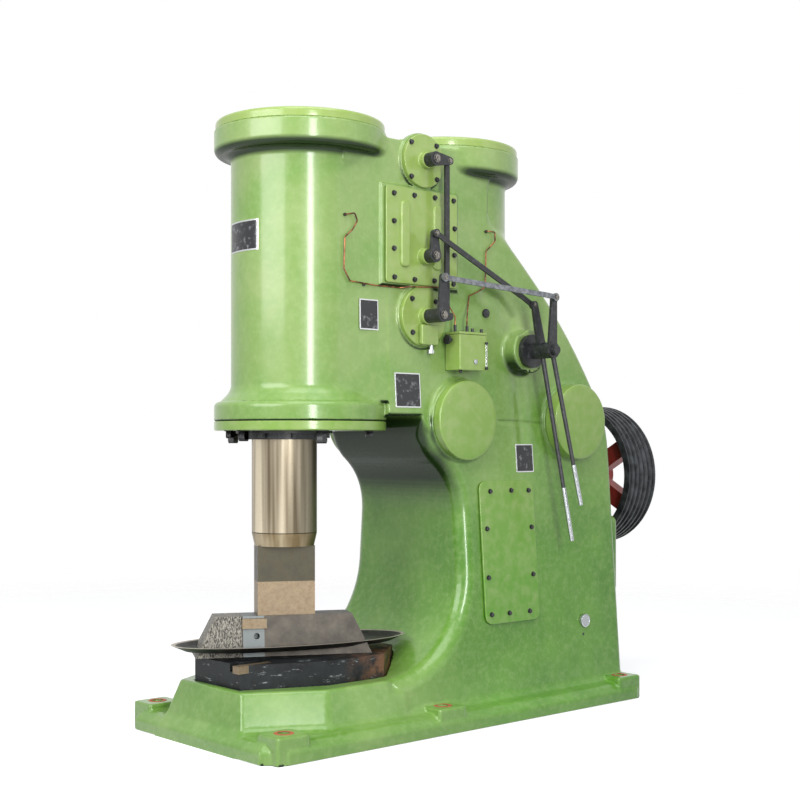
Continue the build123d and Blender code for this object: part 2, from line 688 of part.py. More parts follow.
def round_cover(x, side, thick):
    """Domed round cover on the column's side, seated on a vertical boss face."""
    seat = half_width(ROUND_COVER_Z - ROUND_COVER_R)
    disc = along_y(ROUND_COVER_R, x, ROUND_COVER_Z, side * (seat + 1), side * (seat + 1 + thick))
    outer = disc.faces().sort_by(Axis.Y)[0 if side < 0 else -1]
    return fillet(outer.edges(), COVER_ROUND)


def cover_boss(x, side):
    """Machined boss on the column under one round cover."""
    seat = half_width(ROUND_COVER_Z - ROUND_COVER_R)
    return along_y(ROUND_COVER_R, x, ROUND_COVER_Z, side * (COLUMN_WAIST_HALF - 60), side * (seat + 1))


def inspection_cover(side):
    """Rectangular cover low on the column's leaning side, with rounded corners."""
    mid_z = (INSPECT_Z0 + INSPECT_Z1) / 2
    wide = INSPECT_X1 - INSPECT_X0
    tall = (INSPECT_Z1 - INSPECT_Z0) / cos(LEAN)
    plate = extrude(RectangleRounded(wide, tall, INSPECT_CORNER), amount=INSPECT_THICK)
    plate = fillet(plate.faces().sort_by(Axis.Z)[-1].edges(), 5)
    stand = Rot(side * (LEAN * 180 / pi - 90), 0, 0)
    return at((INSPECT_X0 + INSPECT_X1) / 2, side * half_width(mid_z), mid_z) * stand * plate


def valve_disc(radius, z, side):
    """Bolted flange with a boss for one rotary valve."""
    face = side * VALVE_SEAT
    disc = along_y(radius, VALVE_X, z, face, face + side * DISC_THICK)
    disc = fillet(disc.faces().sort_by(Axis.Y)[0 if side < 0 else -1].edges(), 6)
    if side < 0:
        disc += along_y(VALVE_BOSS_R, VALVE_X, z, face, VALVE_BOSS_FACE)
        disc -= along_y(VALVE_SHAFT_R + SHAFT_CLEAR, VALVE_X, z, face + 1, VALVE_BOSS_FACE - 1)
    return disc


def lower_valve_cover():
    """Lower valve flange with the drain block that hangs from it."""
    disc = valve_disc(LOWER_DISC_R, LOWER_VALVE_Z, -1)
    front = -VALVE_SEAT - DISC_THICK
    drain = block(*DRAIN_X, front - DRAIN_DEEP, front + DISC_THICK, *DRAIN_Z)
    drain = fillet(drain.edges().filter_by(Axis.Y), 12)
    return disc + drain


def drain_plug():
    """Hexagon plug under the lower valve's drain block."""
    x = (DRAIN_X[0] + DRAIN_X[1]) / 2 + 22
    y = -VALVE_SEAT - DISC_THICK - DRAIN_DEEP / 2 + 4
    low = DRAIN_Z[0] - DRAIN_PLUG_LONG
    head = extrude(at(x, y, low) * RegularPolygon(DRAIN_PLUG_R, 6), amount=DRAIN_PLUG_LONG * 0.45)
    return head + upright(DRAIN_PLUG_R * 0.7, x, y, low, DRAIN_Z[0])


def chest_cover():
    """Rectangular cover over the valve chest, with two raised ribs and the middle valve's boss."""
    face = -VALVE_SEAT
    mid_x = (CHEST_X0 + CHEST_X1) / 2
    mid_z = (CHEST_Z0 + CHEST_Z1) / 2
    lying = Plane.XZ.offset(-face)
    outline = RectangleRounded(CHEST_X1 - CHEST_X0, CHEST_Z1 - CHEST_Z0, CHEST_CORNER)
    plate = extrude(lying * at(mid_x, mid_z, 0) * outline, amount=CHEST_THICK)
    for x in RIB_X:
        rib = SlotOverall(RIB_LONG, RIB_WIDE, rotation=90)
        plate += extrude(lying * at(x, RIB_Z, 0) * rib, amount=CHEST_THICK + RIB_HIGH)
    plate += along_y(VALVE_BOSS_R, VALVE_X, MIDDLE_VALVE_Z, face, VALVE_BOSS_FACE)
    return plate - along_y(VALVE_SHAFT_R + SHAFT_CLEAR, VALVE_X, MIDDLE_VALVE_Z, face + 1, VALVE_BOSS_FACE - 1)


def flat_arm(start, end, wide_start, wide_end, y_pair):
    """Flat arm in the XZ plane with a round end at each point."""
    y0, y1 = y_pair
    dx, dz = end[0] - start[0], end[1] - start[1]
    length = hypot(dx, dz)
    nx, nz = -dz / length, dx / length
    corners = [
        (start[0] + nx * wide_start / 2, start[1] + nz * wide_start / 2),
        (end[0] + nx * wide_end / 2, end[1] + nz * wide_end / 2),
        (end[0] - nx * wide_end / 2, end[1] - nz * wide_end / 2),
        (start[0] - nx * wide_start / 2, start[1] - nz * wide_start / 2),
    ]
    bar = extrude(Plane.XZ.offset(-y1) * make_face(Polyline(*corners, close=True)), amount=y1 - y0)
    bar += along_y(wide_start / 2, start[0], start[1], y0, y1)
    return bar + along_y(wide_end / 2, end[0], end[1], y0, y1)


def joggled_link(front, rear, front_y, rear_y):
    """Flat link whose two eyes lie in different planes, with a bent stretch between."""
    dx, dz = rear[0] - front[0], rear[1] - front[1]
    length = hypot(dx, dz)
    thick = front_y[1] - front_y[0]
    step = 90.0
    plan = [
        (0, front_y[0]), (step, front_y[0]), (length - step, rear_y[0]), (length, rear_y[0]),
        (length, rear_y[1]), (length - step, rear_y[1]), (step, front_y[1]), (0, front_y[1]),
    ]
    bar = extrude(make_face(Polyline(*plan, close=True)), amount=LINK_HIGH / 2, both=True)
    bar = at(front[0], 0, front[1]) * Rot(0, -atan2(dz, dx) * 180 / pi, 0) * bar
    bar += along_y(EYE_R, front[0], front[1], *front_y)
    bar += along_y(EYE_R, rear[0], rear[1], *rear_y)
    bar -= along_y(OPEN_HOLE_R, front[0], front[1], front_y[0] - thick, front_y[1] + thick)
    return bar - along_y(PIN_R + SHAFT_CLEAR, rear[0], rear[1], rear_y[0] - thick, rear_y[1] + thick)


def valve_shaft(z, nose):
    """Valve shaft with its hub, from inside the cover's boss out to its nose."""
    shaft = along_y(VALVE_SHAFT_R, VALVE_X, z, -VALVE_SEAT - 2, nose)
    return shaft + along_y(HUB_R, VALVE_X, z, HUB_FACE, nose + SHAFT_NOSE)


def upper_valve_arm():
    """Upper valve's shaft and its level arm, with the pin for the upright rod."""
    z = UPPER_VALVE_Z
    arm = valve_shaft(z, UPPER_ARM_Y[0] - SHAFT_NOSE)
    arm += flat_arm((VALVE_X, z), (VALVE_X + ARM_LONG, z), 2 * HUB_R, ARM_WIDE, UPPER_ARM_Y)
    return arm + along_y(PIN_R, VALVE_X + ARM_LONG, z, UPPER_ARM_Y[1], VALVE_ROD_Y[1] + 4)


def middle_valve_arm():
    """Middle valve's shaft and its upright arm, with the pin for the inner link."""
    arm = valve_shaft(MIDDLE_VALVE_Z, MIDDLE_ARM_Y[0] - SHAFT_NOSE)
    arm += flat_arm((VALVE_X, MIDDLE_VALVE_Z), MIDDLE_PIN, 2 * HUB_R, ARM_WIDE, MIDDLE_ARM_Y)
    return arm + along_y(PIN_R, *MIDDLE_PIN, MIDDLE_ARM_Y[0], INNER_LINK_FRONT_Y[0] - 5)


def lower_valve_arm():
    """Lower valve's bell crank: a level arm behind and an upright arm in front."""
    z = LOWER_VALVE_Z
    arm = valve_shaft(z, LOWER_ARM_Y[0] - SHAFT_NOSE)
    arm += flat_arm((VALVE_X, z), (VALVE_X + ARM_LONG, z), 2 * HUB_R, ARM_WIDE, UPPER_ARM_Y)
    arm += along_y(PIN_R, VALVE_X + ARM_LONG, z, UPPER_ARM_Y[1], VALVE_ROD_Y[1] + 4)
    arm += flat_arm((VALVE_X, z), LOWER_PIN, 2 * HUB_R, ARM_WIDE, LOWER_ARM_Y)
    return arm + along_y(PIN_R, *LOWER_PIN, LOWER_ARM_Y[0], OUTER_LINK_FRONT_Y[0] - 5)


def valve_rod():
    """Upright rod that joins the upper and lower valve arms."""
    x = VALVE_X + ARM_LONG
    rod = flat_arm((x, LOWER_VALVE_Z), (x, UPPER_VALVE_Z), VALVE_ROD_WIDE, VALVE_ROD_WIDE, VALVE_ROD_Y)
    for z in (LOWER_VALVE_Z, UPPER_VALVE_Z):
        rod += along_y(EYE_R, x, z, *VALVE_ROD_Y)
        rod -= along_y(PIN_R + SHAFT_CLEAR, x, z, VALVE_ROD_Y[0] - 5, VALVE_ROD_Y[1] + 5)
    return rod


def bar_between(start, end, r_start, r_end):
    """Straight tapered round bar between two points."""
    axis = Vector(*end) - Vector(*start)
    middle = Plane(origin=(Vector(*start) + Vector(*end)) * 0.5, z_dir=axis)
    return middle * Cone(r_start, r_end, axis.length)


def on_line(start, end, share):
    """Point at a share of the way from start to end."""
    return tuple(a + (b - a) * share for a, b in zip(start, end))


def lever(hub_y, arm_y, top, tip, grip_share, link_y):
    """Forged lever: hub, upper arm with its link pin, and the black part of the handle."""
    mid_y = (arm_y[0] + arm_y[1]) / 2
    root = (LEVER_X, mid_y, LEVER_Z)
    hub = along_y(LEVER_HUB_R, LEVER_X, LEVER_Z, *hub_y)
    body = hub + flat_arm((LEVER_X, LEVER_Z), top, 72, 44, arm_y)
    body += bar_between(root, on_line(root, tip, grip_share), HANDLE_R, HANDLE_THIN_R)
    far = link_y[0] - 5 if link_y[0] < arm_y[0] else link_y[1] + 5
    body += along_y(PIN_R, *top, mid_y, far)
    return body - along_y(LEVER_SHAFT_R + SHAFT_CLEAR, LEVER_X, LEVER_Z, hub_y[0] - 9, hub_y[1] + 9)


def grip(arm_y, tip, share):
    """Bright grip on the lower end of a lever's handle."""
    root = (LEVER_X, (arm_y[0] + arm_y[1]) / 2, LEVER_Z)
    return bar_between(on_line(root, tip, share), tip, GRIP_R, GRIP_R - 1)


def lever_bracket():
    """Black flange with the fixed shaft that both levers turn on, and its end nut."""
    body = along_y(LEVER_FLANGE_R, LEVER_X, LEVER_Z, LEVER_BOSS_FACE, LEVER_FLANGE_FACE)
    body += along_y(LEVER_HUB_R, LEVER_X, LEVER_Z, LEVER_FLANGE_FACE, INNER_HUB_Y[1] + 2)
    body += along_y(LEVER_SHAFT_R, LEVER_X, LEVER_Z, LEVER_BOSS_FACE + 40, LEVER_SHAFT_END)
    return body + along_y(LEVER_NUT_R, LEVER_X, LEVER_Z, OUTER_HUB_Y[0] - 4, OUTER_HUB_Y[0] - 4 - LEVER_NUT)


def lubricator():
    """Box of the oil pump that hangs on the valve side."""
    box = block(*LUBE_X, LUBE_FACE, -half_width(LUBE_Z[0]) - 0.3, *LUBE_Z)
    return fillet(box.edges().filter_by(Axis.Z), 10)


def lubricator_crank():
    """Small hand crank on the lubricator's front side."""
    z, thick = LUBE_CRANK
    mid_y = (LUBE_FACE - CHEST_HALF) / 2
    wheel = along_x(LUBE_CRANK_R, mid_y, z, LUBE_X[0] - 40, LUBE_X[0] - 40 + thick)
    return wheel + along_x(9, mid_y, z, LUBE_X[0] - 40, LUBE_X[0])


def bearing_cap():
    """Cap round the crankshaft where it leaves the column's back."""
    cap = along_x(BEARING_R, 0, SHAFT_Z, COLUMN_REAR, COLUMN_REAR + BEARING_OUT)
    cap = fillet(cap.faces().sort_by(Axis.X)[-1].edges(), 12)
    return cap - along_x(SHAFT_R + RUN_CLEAR, 0, SHAFT_Z, COLUMN_REAR - 1, COLUMN_REAR + BEARING_OUT + 1)


def crankshaft():
    """Crankshaft end that carries the pulley."""
    return along_x(SHAFT_R, 0, SHAFT_Z, COLUMN_REAR - 150, PULLEY_X1 + 18)


def pulley():
    """Grooved belt pulley: rim, arms and hub in one casting."""
    wide = PULLEY_X1 - PULLEY_X0
    pitch = wide / GROOVES
    rim = [(PULLEY_X0, PULLEY_R - PULLEY_RIM), (PULLEY_X0, PULLEY_R)]
    for i in range(GROOVES):
        centre = PULLEY_X0 + pitch * (i + 0.5)
        rim += [
            (centre - pitch * 0.34, PULLEY_R), (centre - pitch * 0.16, PULLEY_R - GROOVE_DEEP),
            (centre + pitch * 0.16, PULLEY_R - GROOVE_DEEP), (centre + pitch * 0.34, PULLEY_R),
        ]
    rim += [(PULLEY_X1, PULLEY_R), (PULLEY_X1, PULLEY_R - PULLEY_RIM)]
    body = revolve(Plane.XZ * make_face(Polyline(*rim, close=True)), Axis.X)
    body = at(0, 0, SHAFT_Z) * body
    body += along_x(PULLEY_HUB_R, 0, SHAFT_Z, PULLEY_X0 + 30, PULLEY_X1 - 30)
    mid_x = (PULLEY_X0 + PULLEY_X1) / 2
    for i in range(PULLEY_ARMS):
        reach = PULLEY_R - PULLEY_RIM / 2
        arm = Pos(0, 0, reach / 2) * Box(90, 110, reach)
        body += at(mid_x, 0, SHAFT_Z) * Rot(360 / PULLEY_ARMS * i, 0, 0) * arm
    return body - along_x(SHAFT_R, 0, SHAFT_Z, PULLEY_X0 - 1, PULLEY_X1 + 1)


def side_plug(radius, place):
    """Round plug standing just off the column's side."""
    x, z = place
    seat = -half_width(z - radius) - SIGHT_GAP
    return along_y(radius, x, z, seat, seat - PLUG_OUT)


def lubricator_fittings():
    """Pipe fittings and knobs on the lubricator's top."""
    top = LUBE_Z[1]
    pieces = [upright(LUBE_FITTING_R, x, y, top, LUBE_FITTING_TOP) for x, y in LUBE_FITTING_XY]
    pieces += [upright(LUBE_FITTING_R, x, y, top, LUBE_KNOB_TOP) for x, y in LUBE_KNOB_XY]
    return Compound(children=pieces)


def lubricator_gauge():
    """Upright glass level gauge on the lubricator's front."""
    return upright(GAUGE_R, GAUGE_X, LUBE_FACE - GAUGE_R, *GAUGE_Z)


def wall_fitting(place, wall_half):
    """Pipe fitting on a cylinder's side."""
    x, z = place
    return along_y(WALL_FITTING_R, x, z, -wall_half - 2 * SIGHT_GAP, -wall_half - WALL_FITTING_OUT)


def bent_path(points, radius):
    """Straight runs joined by tangent arcs of one radius."""
    points = [Vector(*p) for p in points]
    here = points[0]
    runs = []
    for before, corner, after in zip(points, points[1:], points[2:]):
        into = (corner - before).normalized()
        out = (after - corner).normalized()
        half = acos(into.dot(out)) / 2
        bend_start = corner - into * (radius * tan(half))
        bend_end = corner + out * (radius * tan(half))
        bend_mid = corner + (out - into).normalized() * (radius / cos(half) - radius)
        runs += [Line(here, bend_start), ThreePointArc(bend_start, bend_mid, bend_end)]
        here = bend_end
    return Wire(runs + [Line(here, points[-1])])


def oil_pipe(start, middle, end):
    """Thin oil pipe from a wall fitting to the lubricator."""
    x, y, z = start
    points = [start, (x, y - OIL_BEND_R, z)] + list(middle) + [(end[0], end[1], end[2] + 50), end]
    path = bent_path(points, OIL_BEND_R * 0.9)
    return sweep(Plane(origin=start, z_dir=(0, -1, 0)) * Circle(OIL_PIPE_R), path=path)


def write(name, shape):
    """Save one node."""
    export_step(shape, f"parts/{name}.step")


def main():
    os.makedirs("parts", exist_ok=True)
    write("frame_casting", frame_casting())
    write("working_cylinder_cover", cylinder_cover(CASTING_X, FRONT_FLANGE_R))
    write("compressor_cover", cylinder_cover(REAR_CYL_X, REAR_FLANGE_R))
    write("lower_cylinder_cover", lower_cover())
    write("rod_gland", rod_gland())
    write("ram", ram_rod())
    write("upper_die", upper_die())
    write("lower_die", lower_die())
    write("sow_block", sow_block())
    write("die_key", die_key())
    write("sow_key", sow_key())
    write("scale_tray", scale_tray())
    write("anvil_block", anvil_block())
    for name, side in (("valve_side", -1), ("far_side", 1)):
        write(f"{name}_front_round_cover", round_cover(FRONT_COVER_X, side, FRONT_COVER_THICK))
        write(f"{name}_rear_round_cover", round_cover(REAR_COVER_X, side, REAR_COVER_THICK))
        write(f"{name}_inspection_cover", inspection_cover(side))
    write("upper_valve_cover", valve_disc(UPPER_DISC_R, UPPER_VALVE_Z, -1))
    write("lower_valve_cover", lower_valve_cover())
    write("drain_plug", drain_plug())
    write("valve_chest_cover", chest_cover())
    write("far_side_upper_valve_cap", valve_disc(UPPER_DISC_R, UPPER_VALVE_Z, 1))
    write("far_side_middle_valve_cap", valve_disc(MIDDLE_CAP_R, MIDDLE_VALVE_Z, 1))
    write("far_side_lower_valve_cap", valve_disc(LOWER_DISC_R, LOWER_VALVE_Z, 1))
    write("upper_valve_arm", upper_valve_arm())
    write("middle_valve_arm", middle_valve_arm())
    write("lower_valve_arm", lower_valve_arm())
    write("valve_rod", valve_rod())
    write("inner_link", joggled_link(MIDDLE_PIN, INNER_TOP, INNER_LINK_FRONT_Y, INNER_LINK_REAR_Y))
    write("outer_link", joggled_link(LOWER_PIN, OUTER_TOP, OUTER_LINK_FRONT_Y, OUTER_LINK_REAR_Y))
    write("lever_bracket", lever_bracket())
    write("inner_lever", lever(INNER_HUB_Y, INNER_ARM_Y, INNER_TOP, INNER_TIP, INNER_GRIP, INNER_LINK_REAR_Y))
    write("inner_grip", grip(INNER_ARM_Y, INNER_TIP, INNER_GRIP))
    write("outer_lever", lever(OUTER_HUB_Y, OUTER_ARM_Y, OUTER_TOP, OUTER_TIP, OUTER_GRIP, OUTER_LINK_REAR_Y))
    write("outer_grip", grip(OUTER_ARM_Y, OUTER_TIP, OUTER_GRIP))
    write("lubricator", lubricator())
    write("lubricator_crank", lubricator_crank())
    write("bearing_cap", bearing_cap())
    write("crankshaft_end", crankshaft())
    write("belt_pulley", pulley())
    write("lubricator_fittings", lubricator_fittings())
    write("lubricator_gauge", lubricator_gauge())
    write("oil_sight", side_plug(SIGHT_R, SIGHT_PLACE))
    write("side_plug", side_plug(PLUG_R, PLUG_PLACE))
    write("front_pipe_fitting", wall_fitting(FRONT_FITTING, CYL_BODY_R))
    write("rear_pipe_fitting", wall_fitting(REAR_FITTING, CHEST_HALF))
    front_start = (FRONT_FITTING[0], -CYL_BODY_R - WALL_FITTING_OUT, FRONT_FITTING[1])
    rear_start = (REAR_FITTING[0], -CHEST_HALF - WALL_FITTING_OUT, REAR_FITTING[1])
    front_end = (*LUBE_FITTING_XY[0], LUBE_FITTING_TOP)
    rear_end = (*LUBE_FITTING_XY[1], LUBE_FITTING_TOP)
    write("front_oil_pipe", oil_pipe(front_start, FRONT_PIPE, front_end))
    write("rear_oil_pipe", oil_pipe(rear_start, REAR_PIPE, rear_end))


main()
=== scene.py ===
import bpy
import numpy as np
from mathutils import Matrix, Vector


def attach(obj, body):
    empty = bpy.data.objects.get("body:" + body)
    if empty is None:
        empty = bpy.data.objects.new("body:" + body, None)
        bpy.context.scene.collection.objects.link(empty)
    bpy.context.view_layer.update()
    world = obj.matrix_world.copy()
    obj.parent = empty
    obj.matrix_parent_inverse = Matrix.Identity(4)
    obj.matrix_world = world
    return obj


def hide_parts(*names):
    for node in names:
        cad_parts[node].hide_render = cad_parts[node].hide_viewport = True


bl_info = {
    "name": "Forging hammer looks",
    "version": (1, 0, 0),
    "blender": (4, 5, 0),
    "location": "View3D > Sidebar > Hammer",
    "description": "Builds the shown pieces of a two-cylinder air forging hammer round its packed CAD frame",
    "category": "Object",
}

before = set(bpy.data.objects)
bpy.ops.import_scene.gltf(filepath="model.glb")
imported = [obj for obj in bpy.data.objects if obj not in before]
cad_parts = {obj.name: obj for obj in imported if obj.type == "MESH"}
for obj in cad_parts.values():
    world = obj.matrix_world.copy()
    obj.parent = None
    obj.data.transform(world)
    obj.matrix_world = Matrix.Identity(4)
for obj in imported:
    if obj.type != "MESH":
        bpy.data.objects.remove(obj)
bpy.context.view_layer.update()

# Every length below is in millimetres in the machine's own frame: +Z up, +X back to the belt pulley,
# and the valve side faces -Y. Meshes are turned into metres as they are made.

# Base flange and its anchor pads
BASE_FRONT, BASE_REAR, BASE_HALF = -603.0, 2296.0, 694.0
BASE_LIP, BASE_TOP, BASE_SLOPE = 66.0, 112.0, 52.0
PAD_X, PAD_Y, PAD_TOP = (-452.0, 655.0, 2190.0), 596.0, 146.0
PAD_LONG, PAD_WIDE, ANCHOR_R = 210.0, 176.0, 31.0

# Pedestal
CASTING_X = 113.0
PEDESTAL_TOP, PEDESTAL_FOOT = 312.0, 60.0
PEDESTAL_LONG, PEDESTAL_WIDE, PEDESTAL_CUT, PEDESTAL_DRAFT = 612.0, 512.0, (404.0, 225.0), 92.0

# Column
FOOT_HALF, WAIST_HALF, WAIST_Z, CHEST_Z = 560.0, 430.0, 1800.0, 2548.0
LEAN = np.arctan2(FOOT_HALF - WAIST_HALF, WAIST_Z - BASE_LIP)
CHEST_HALF = WAIST_HALF - (CHEST_Z - WAIST_Z) * np.tan(LEAN / 2)
BEND_R = (CHEST_Z - WAIST_Z) / np.sin(LEAN)
THROAT_X, FLOOR_R, LIP_R, THROAT_ROOF = 920.0, 585.0, 300.0, 1768.0
COLUMN_REAR, BRIDGE_X, BRIDGE_TOP = 2285.0, 400.0, 3318.0
BACK_SLOPE = (
    (1360, 2860), (1462, 2770), (1563, 2678), (1663, 2585), (1759, 2488), (1851, 2388), (1939, 2283),
    (2021, 2175), (2098, 2062), (2169, 1946), (2233, 1825), (2257, 1762), (2274, 1696), (2282, 1628),
    (2285, 1560),
)
SWELL_OUT, SWELL_Z, SWELL_HALF = 92.0, (640.0, 1140.0), 440.0

# Cylinders
WALL_R, REAR_CYL_X = 390.0, 1209.0
FRONT_FLANGE_R, REAR_FLANGE_R = 484.0, 470.0
FRONT_BOTTOM, FRONT_SHOULDER, COVER_SEAT, MACHINE_TOP = 1733.0, 1842.0, 3352.0, 3405.0
HEAD_THICK, REAR_HEAD_THICK = 140.0, 156.0
BORE_R, BORE_TOP = 226.0, 3290.0
LOWER_COVER_BOTTOM = 1680.0

# Covers on the sides
FRONT_COVER_X, REAR_COVER_X, ROUND_COVER_Z, ROUND_COVER_R = 948.0, 1889.0, 1742.0, 232.0
VALVE_X, VALVE_SEAT = 661.0, 417.0
UPPER_VALVE_Z, MIDDLE_VALVE_Z, LOWER_VALVE_Z = 3212.0, 2668.0, 2329.0
UPPER_DISC_R, LOWER_DISC_R, MIDDLE_CAP_R = 152.0, 170.0, 112.0
CHEST_X, CHEST_COVER_Z = (380.0, 925.0), (2506.0, 3046.0)
LEVER_X, LEVER_Z, LEVER_BOSS_R, LEVER_BOSS_FACE = 1464.0, 2162.0, 136.0, 506.0
INSPECT_X, INSPECT_Z = (1060.0, 1520.0), (510.0, 1392.0)

# Crankshaft, dies and anvil
SHAFT_Z = 1394.0
ANVIL = ((-450, -215), (-5, -400), (390, -400), (650, -175), (650, 175), (390, 400), (-5, 400), (-450, 215))
DIE_TURN = -28.0

# Pins of the valve arms and levers, in x and z
ARM_END_X, MIDDLE_PIN, LOWER_PIN = 770.0, (655.0, 2790.0), (661.0, 2537.0)
INNER_TOP, OUTER_TOP = (1400.0, 2432.0), (1478.0, 2475.0)

# Colour lines: the height at which the ram turns brown, where along the sow block its chiselled and ground
# stretches end, the height of the tray's painted rim highlight, and how far out the pulley's red spokes reach
RAM_LINE_Z, CHISEL_END, GROUND_END, TRAY_RIM_HIGHLIGHT_Z, PULLEY_INNER_R = 1116.0, -246.0, -128.0, 510.5, 410.0

# Edge radii of the column: along the throat, along the back, beside the front round cover, and at the top
THROAT_EDGE, BACK_EDGE, BRIDGE_EDGE, CREST_EDGE = 90, 48, 16, 10
# Edge and neck radii of the two head flanges, and the edge radius of the lids' seats on them
HEAD_EDGE, REAR_HEAD_EDGE, NECK_FILLET, REAR_NECK_FILLET, SEAT_EDGE = 42, 44, 46, 50, 7
# Hollow fillets where the raised seats of covers, valves and levers run into the side
COVER_FILLET, VALVE_FILLET, BOSS_FILLET = 22, 14, 26
# Bores of the crankshaft and of the levers' pin
SHAFT_BORE_R, LEVER_BORE_R = 78, 32

# Soft valley behind the front covers, and the shallow groove between the round covers, on both sides: depth,
# width and path
VALLEY_DEEP, VALLEY_WIDE, GROOVE_DEEP, GROOVE_WIDE = 15, 46, 5, 13
VALLEY = ((1196, 2495), (1304, 2457), (1403, 2355), (1426, 2202), (1448, 2003), (1459, 1895), (1470, 1632))
GROOVE = ((1267, 1738), (1637, 1726))


def mix(low, high, value):
    """Smooth step: 0 below low, 1 above high, 3t^2 - 2t^3 between."""
    t = np.clip((value - low) / (high - low), 0, 1)
    return t * t * (3 - 2 * t)


def round_and(a, b, r):
    """Overlap of two solids with a convex edge of radius r: min(max(a, b), -r) + |(a + r, b + r) above 0|."""
    return np.minimum(np.maximum(a, b), -r) + np.hypot(np.maximum(a + r, 0), np.maximum(b + r, 0))


def round_or(a, b, r):
    """Union of two solids with a hollow fillet of radius r: max(min(a, b), r) - |(r - a, r - b) above 0|."""
    return np.maximum(np.minimum(a, b), r) - np.hypot(np.maximum(r - a, 0), np.maximum(r - b, 0))


def outline_distance(outline, u, v):
    """Signed distance to a closed outline: nearest point over its edges, below zero inside by crossings."""
    u, v = np.broadcast_arrays(np.asarray(u, np.float64), np.asarray(v, np.float64))
    best = np.full(u.shape, 1e18)
    inside = np.zeros(u.shape, bool)
    for (u0, v0), (u1, v1) in zip(outline, np.roll(outline, -1, 0)):
        du, dv = u1 - u0, v1 - v0
        t = np.clip(((u - u0) * du + (v - v0) * dv) / (du * du + dv * dv + 1e-9), 0, 1)
        best = np.minimum(best, (u - u0 - t * du) ** 2 + (v - v0 - t * dv) ** 2)
        if dv != 0:
            crosses = (v0 > v) != (v1 > v)
            inside ^= crosses & (u < u0 + (v - v0) * du / dv)
    return np.where(inside, -1, 1) * np.sqrt(best)


def path_distance(path, u, v):
    """Distance to an open path of straight runs."""
    best = np.full(np.broadcast(u, v).shape, 1e9)
    for (u0, v0), (u1, v1) in zip(path[:-1], path[1:]):
        du, dv = u1 - u0, v1 - v0
        t = np.clip(((u - u0) * du + (v - v0) * dv) / (du * du + dv * dv), 0, 1)
        best = np.minimum(best, np.hypot(u - u0 - t * du, v - v0 - t * dv))
    return best


def arc(cx, cz, r, a0, a1, count):
    """Points on a circle between two angles in degrees."""
    a = np.radians(np.linspace(a0, a1, count))
    return np.stack([cx + r * np.cos(a), cz + r * np.sin(a)], -1)


def side_outline():
    """Side outline of column and bridge: floor curve, throat wall, lip at the front cover, roof and back. The
    lip is a circle round the cover from the angle at which the wall's hollow curve meets it."""
    meets = 232
    floor = arc(THROAT_X - FLOOR_R, PEDESTAL_TOP + FLOOR_R, FLOOR_R, -90, 0, 19)
    lip = arc(FRONT_COVER_X, ROUND_COVER_Z, LIP_R, meets, 180, 13)
    rest = [
        (FRONT_COVER_X - LIP_R, THROAT_ROOF), (BRIDGE_X, THROAT_ROOF), (BRIDGE_X, BRIDGE_TOP),
        (REAR_CYL_X, BRIDGE_TOP), (REAR_CYL_X, 2980),
    ]
    back = list(BACK_SLOPE) + [(COLUMN_REAR, BASE_LIP), (THROAT_X - FLOOR_R, BASE_LIP)]
    return np.concatenate([floor, hollow_corner(THROAT_X, lip[0], meets), lip[1:], rest, back])


def hollow_corner(wall_x, end, angle):
    """Hollow curve from an upright wall to a circle's point, touching both: (1-t)^2 a + 2t(1-t) c + t^2 b,
    with c where the circle's tangent at that point meets the wall."""
    turn = np.radians(angle)
    reach = (wall_x - end[0]) / -np.sin(turn)
    corner = end + reach * np.array([-np.sin(turn), np.cos(turn)])
    start = corner - [0, reach]
    t = np.linspace(0, 1, 15)[:, None]
    return (1 - t) ** 2 * start + 2 * t * (1 - t) * corner + t**2 * end


SIDE = side_outline()


def half_width(z):
    """Half the column's width: a leaning side up to the waist, a circular bend, then upright."""
    leaning = FOOT_HALF - (z - BASE_LIP) * np.tan(LEAN)
    bend = CHEST_HALF + BEND_R - np.sqrt(np.maximum(BEND_R**2 - (CHEST_Z - z) ** 2, 0))
    return np.where(z <= WAIST_Z, leaning, np.where(z >= CHEST_Z, CHEST_HALF, bend))


def half_at(z):
    """Half the column's width at one height, as a plain number."""
    return float(half_width(np.array(float(z))))


ROUND_SEAT = half_at(ROUND_COVER_Z - ROUND_COVER_R) + 1


def bar_y(x, z, cx, cz, r, y, y_end):
    """Round bar along y from the middle plane out to y_end, with a 12 mm rounded end."""
    return round_and(np.hypot(x - cx, z - cz) - r, y - y_end, 12)


def octagon_pedestal(x, ay, z):
    """Octagon with drafted sides: planes for its sides, ends and cut corners, met with rounded edges. Each
    plane's distance is shortened by the cosine of its draft."""
    fall = (z - PEDESTAL_FOOT) / (PEDESTAL_TOP - PEDESTAL_FOOT)
    wide = PEDESTAL_WIDE + PEDESTAL_DRAFT * (1 - fall)
    long = PEDESTAL_LONG + PEDESTAL_DRAFT * 0.7 * (1 - fall)
    ax = np.abs(x - CASTING_X)
    cx, cy = PEDESTAL_CUT
    side_draft, end_draft, cut_draft = 0.94, 0.97, 0.95
    side = (ay - wide) * side_draft
    end = (ax - long) * end_draft
    cut = ((ax - long) * cy + (ay - wide) * cx + cx * cy) / np.hypot(cx, cy) * cut_draft
    walls = round_and(round_and(side, cut, 12), end, 12)
    return round_and(walls, z - PEDESTAL_TOP, 14)


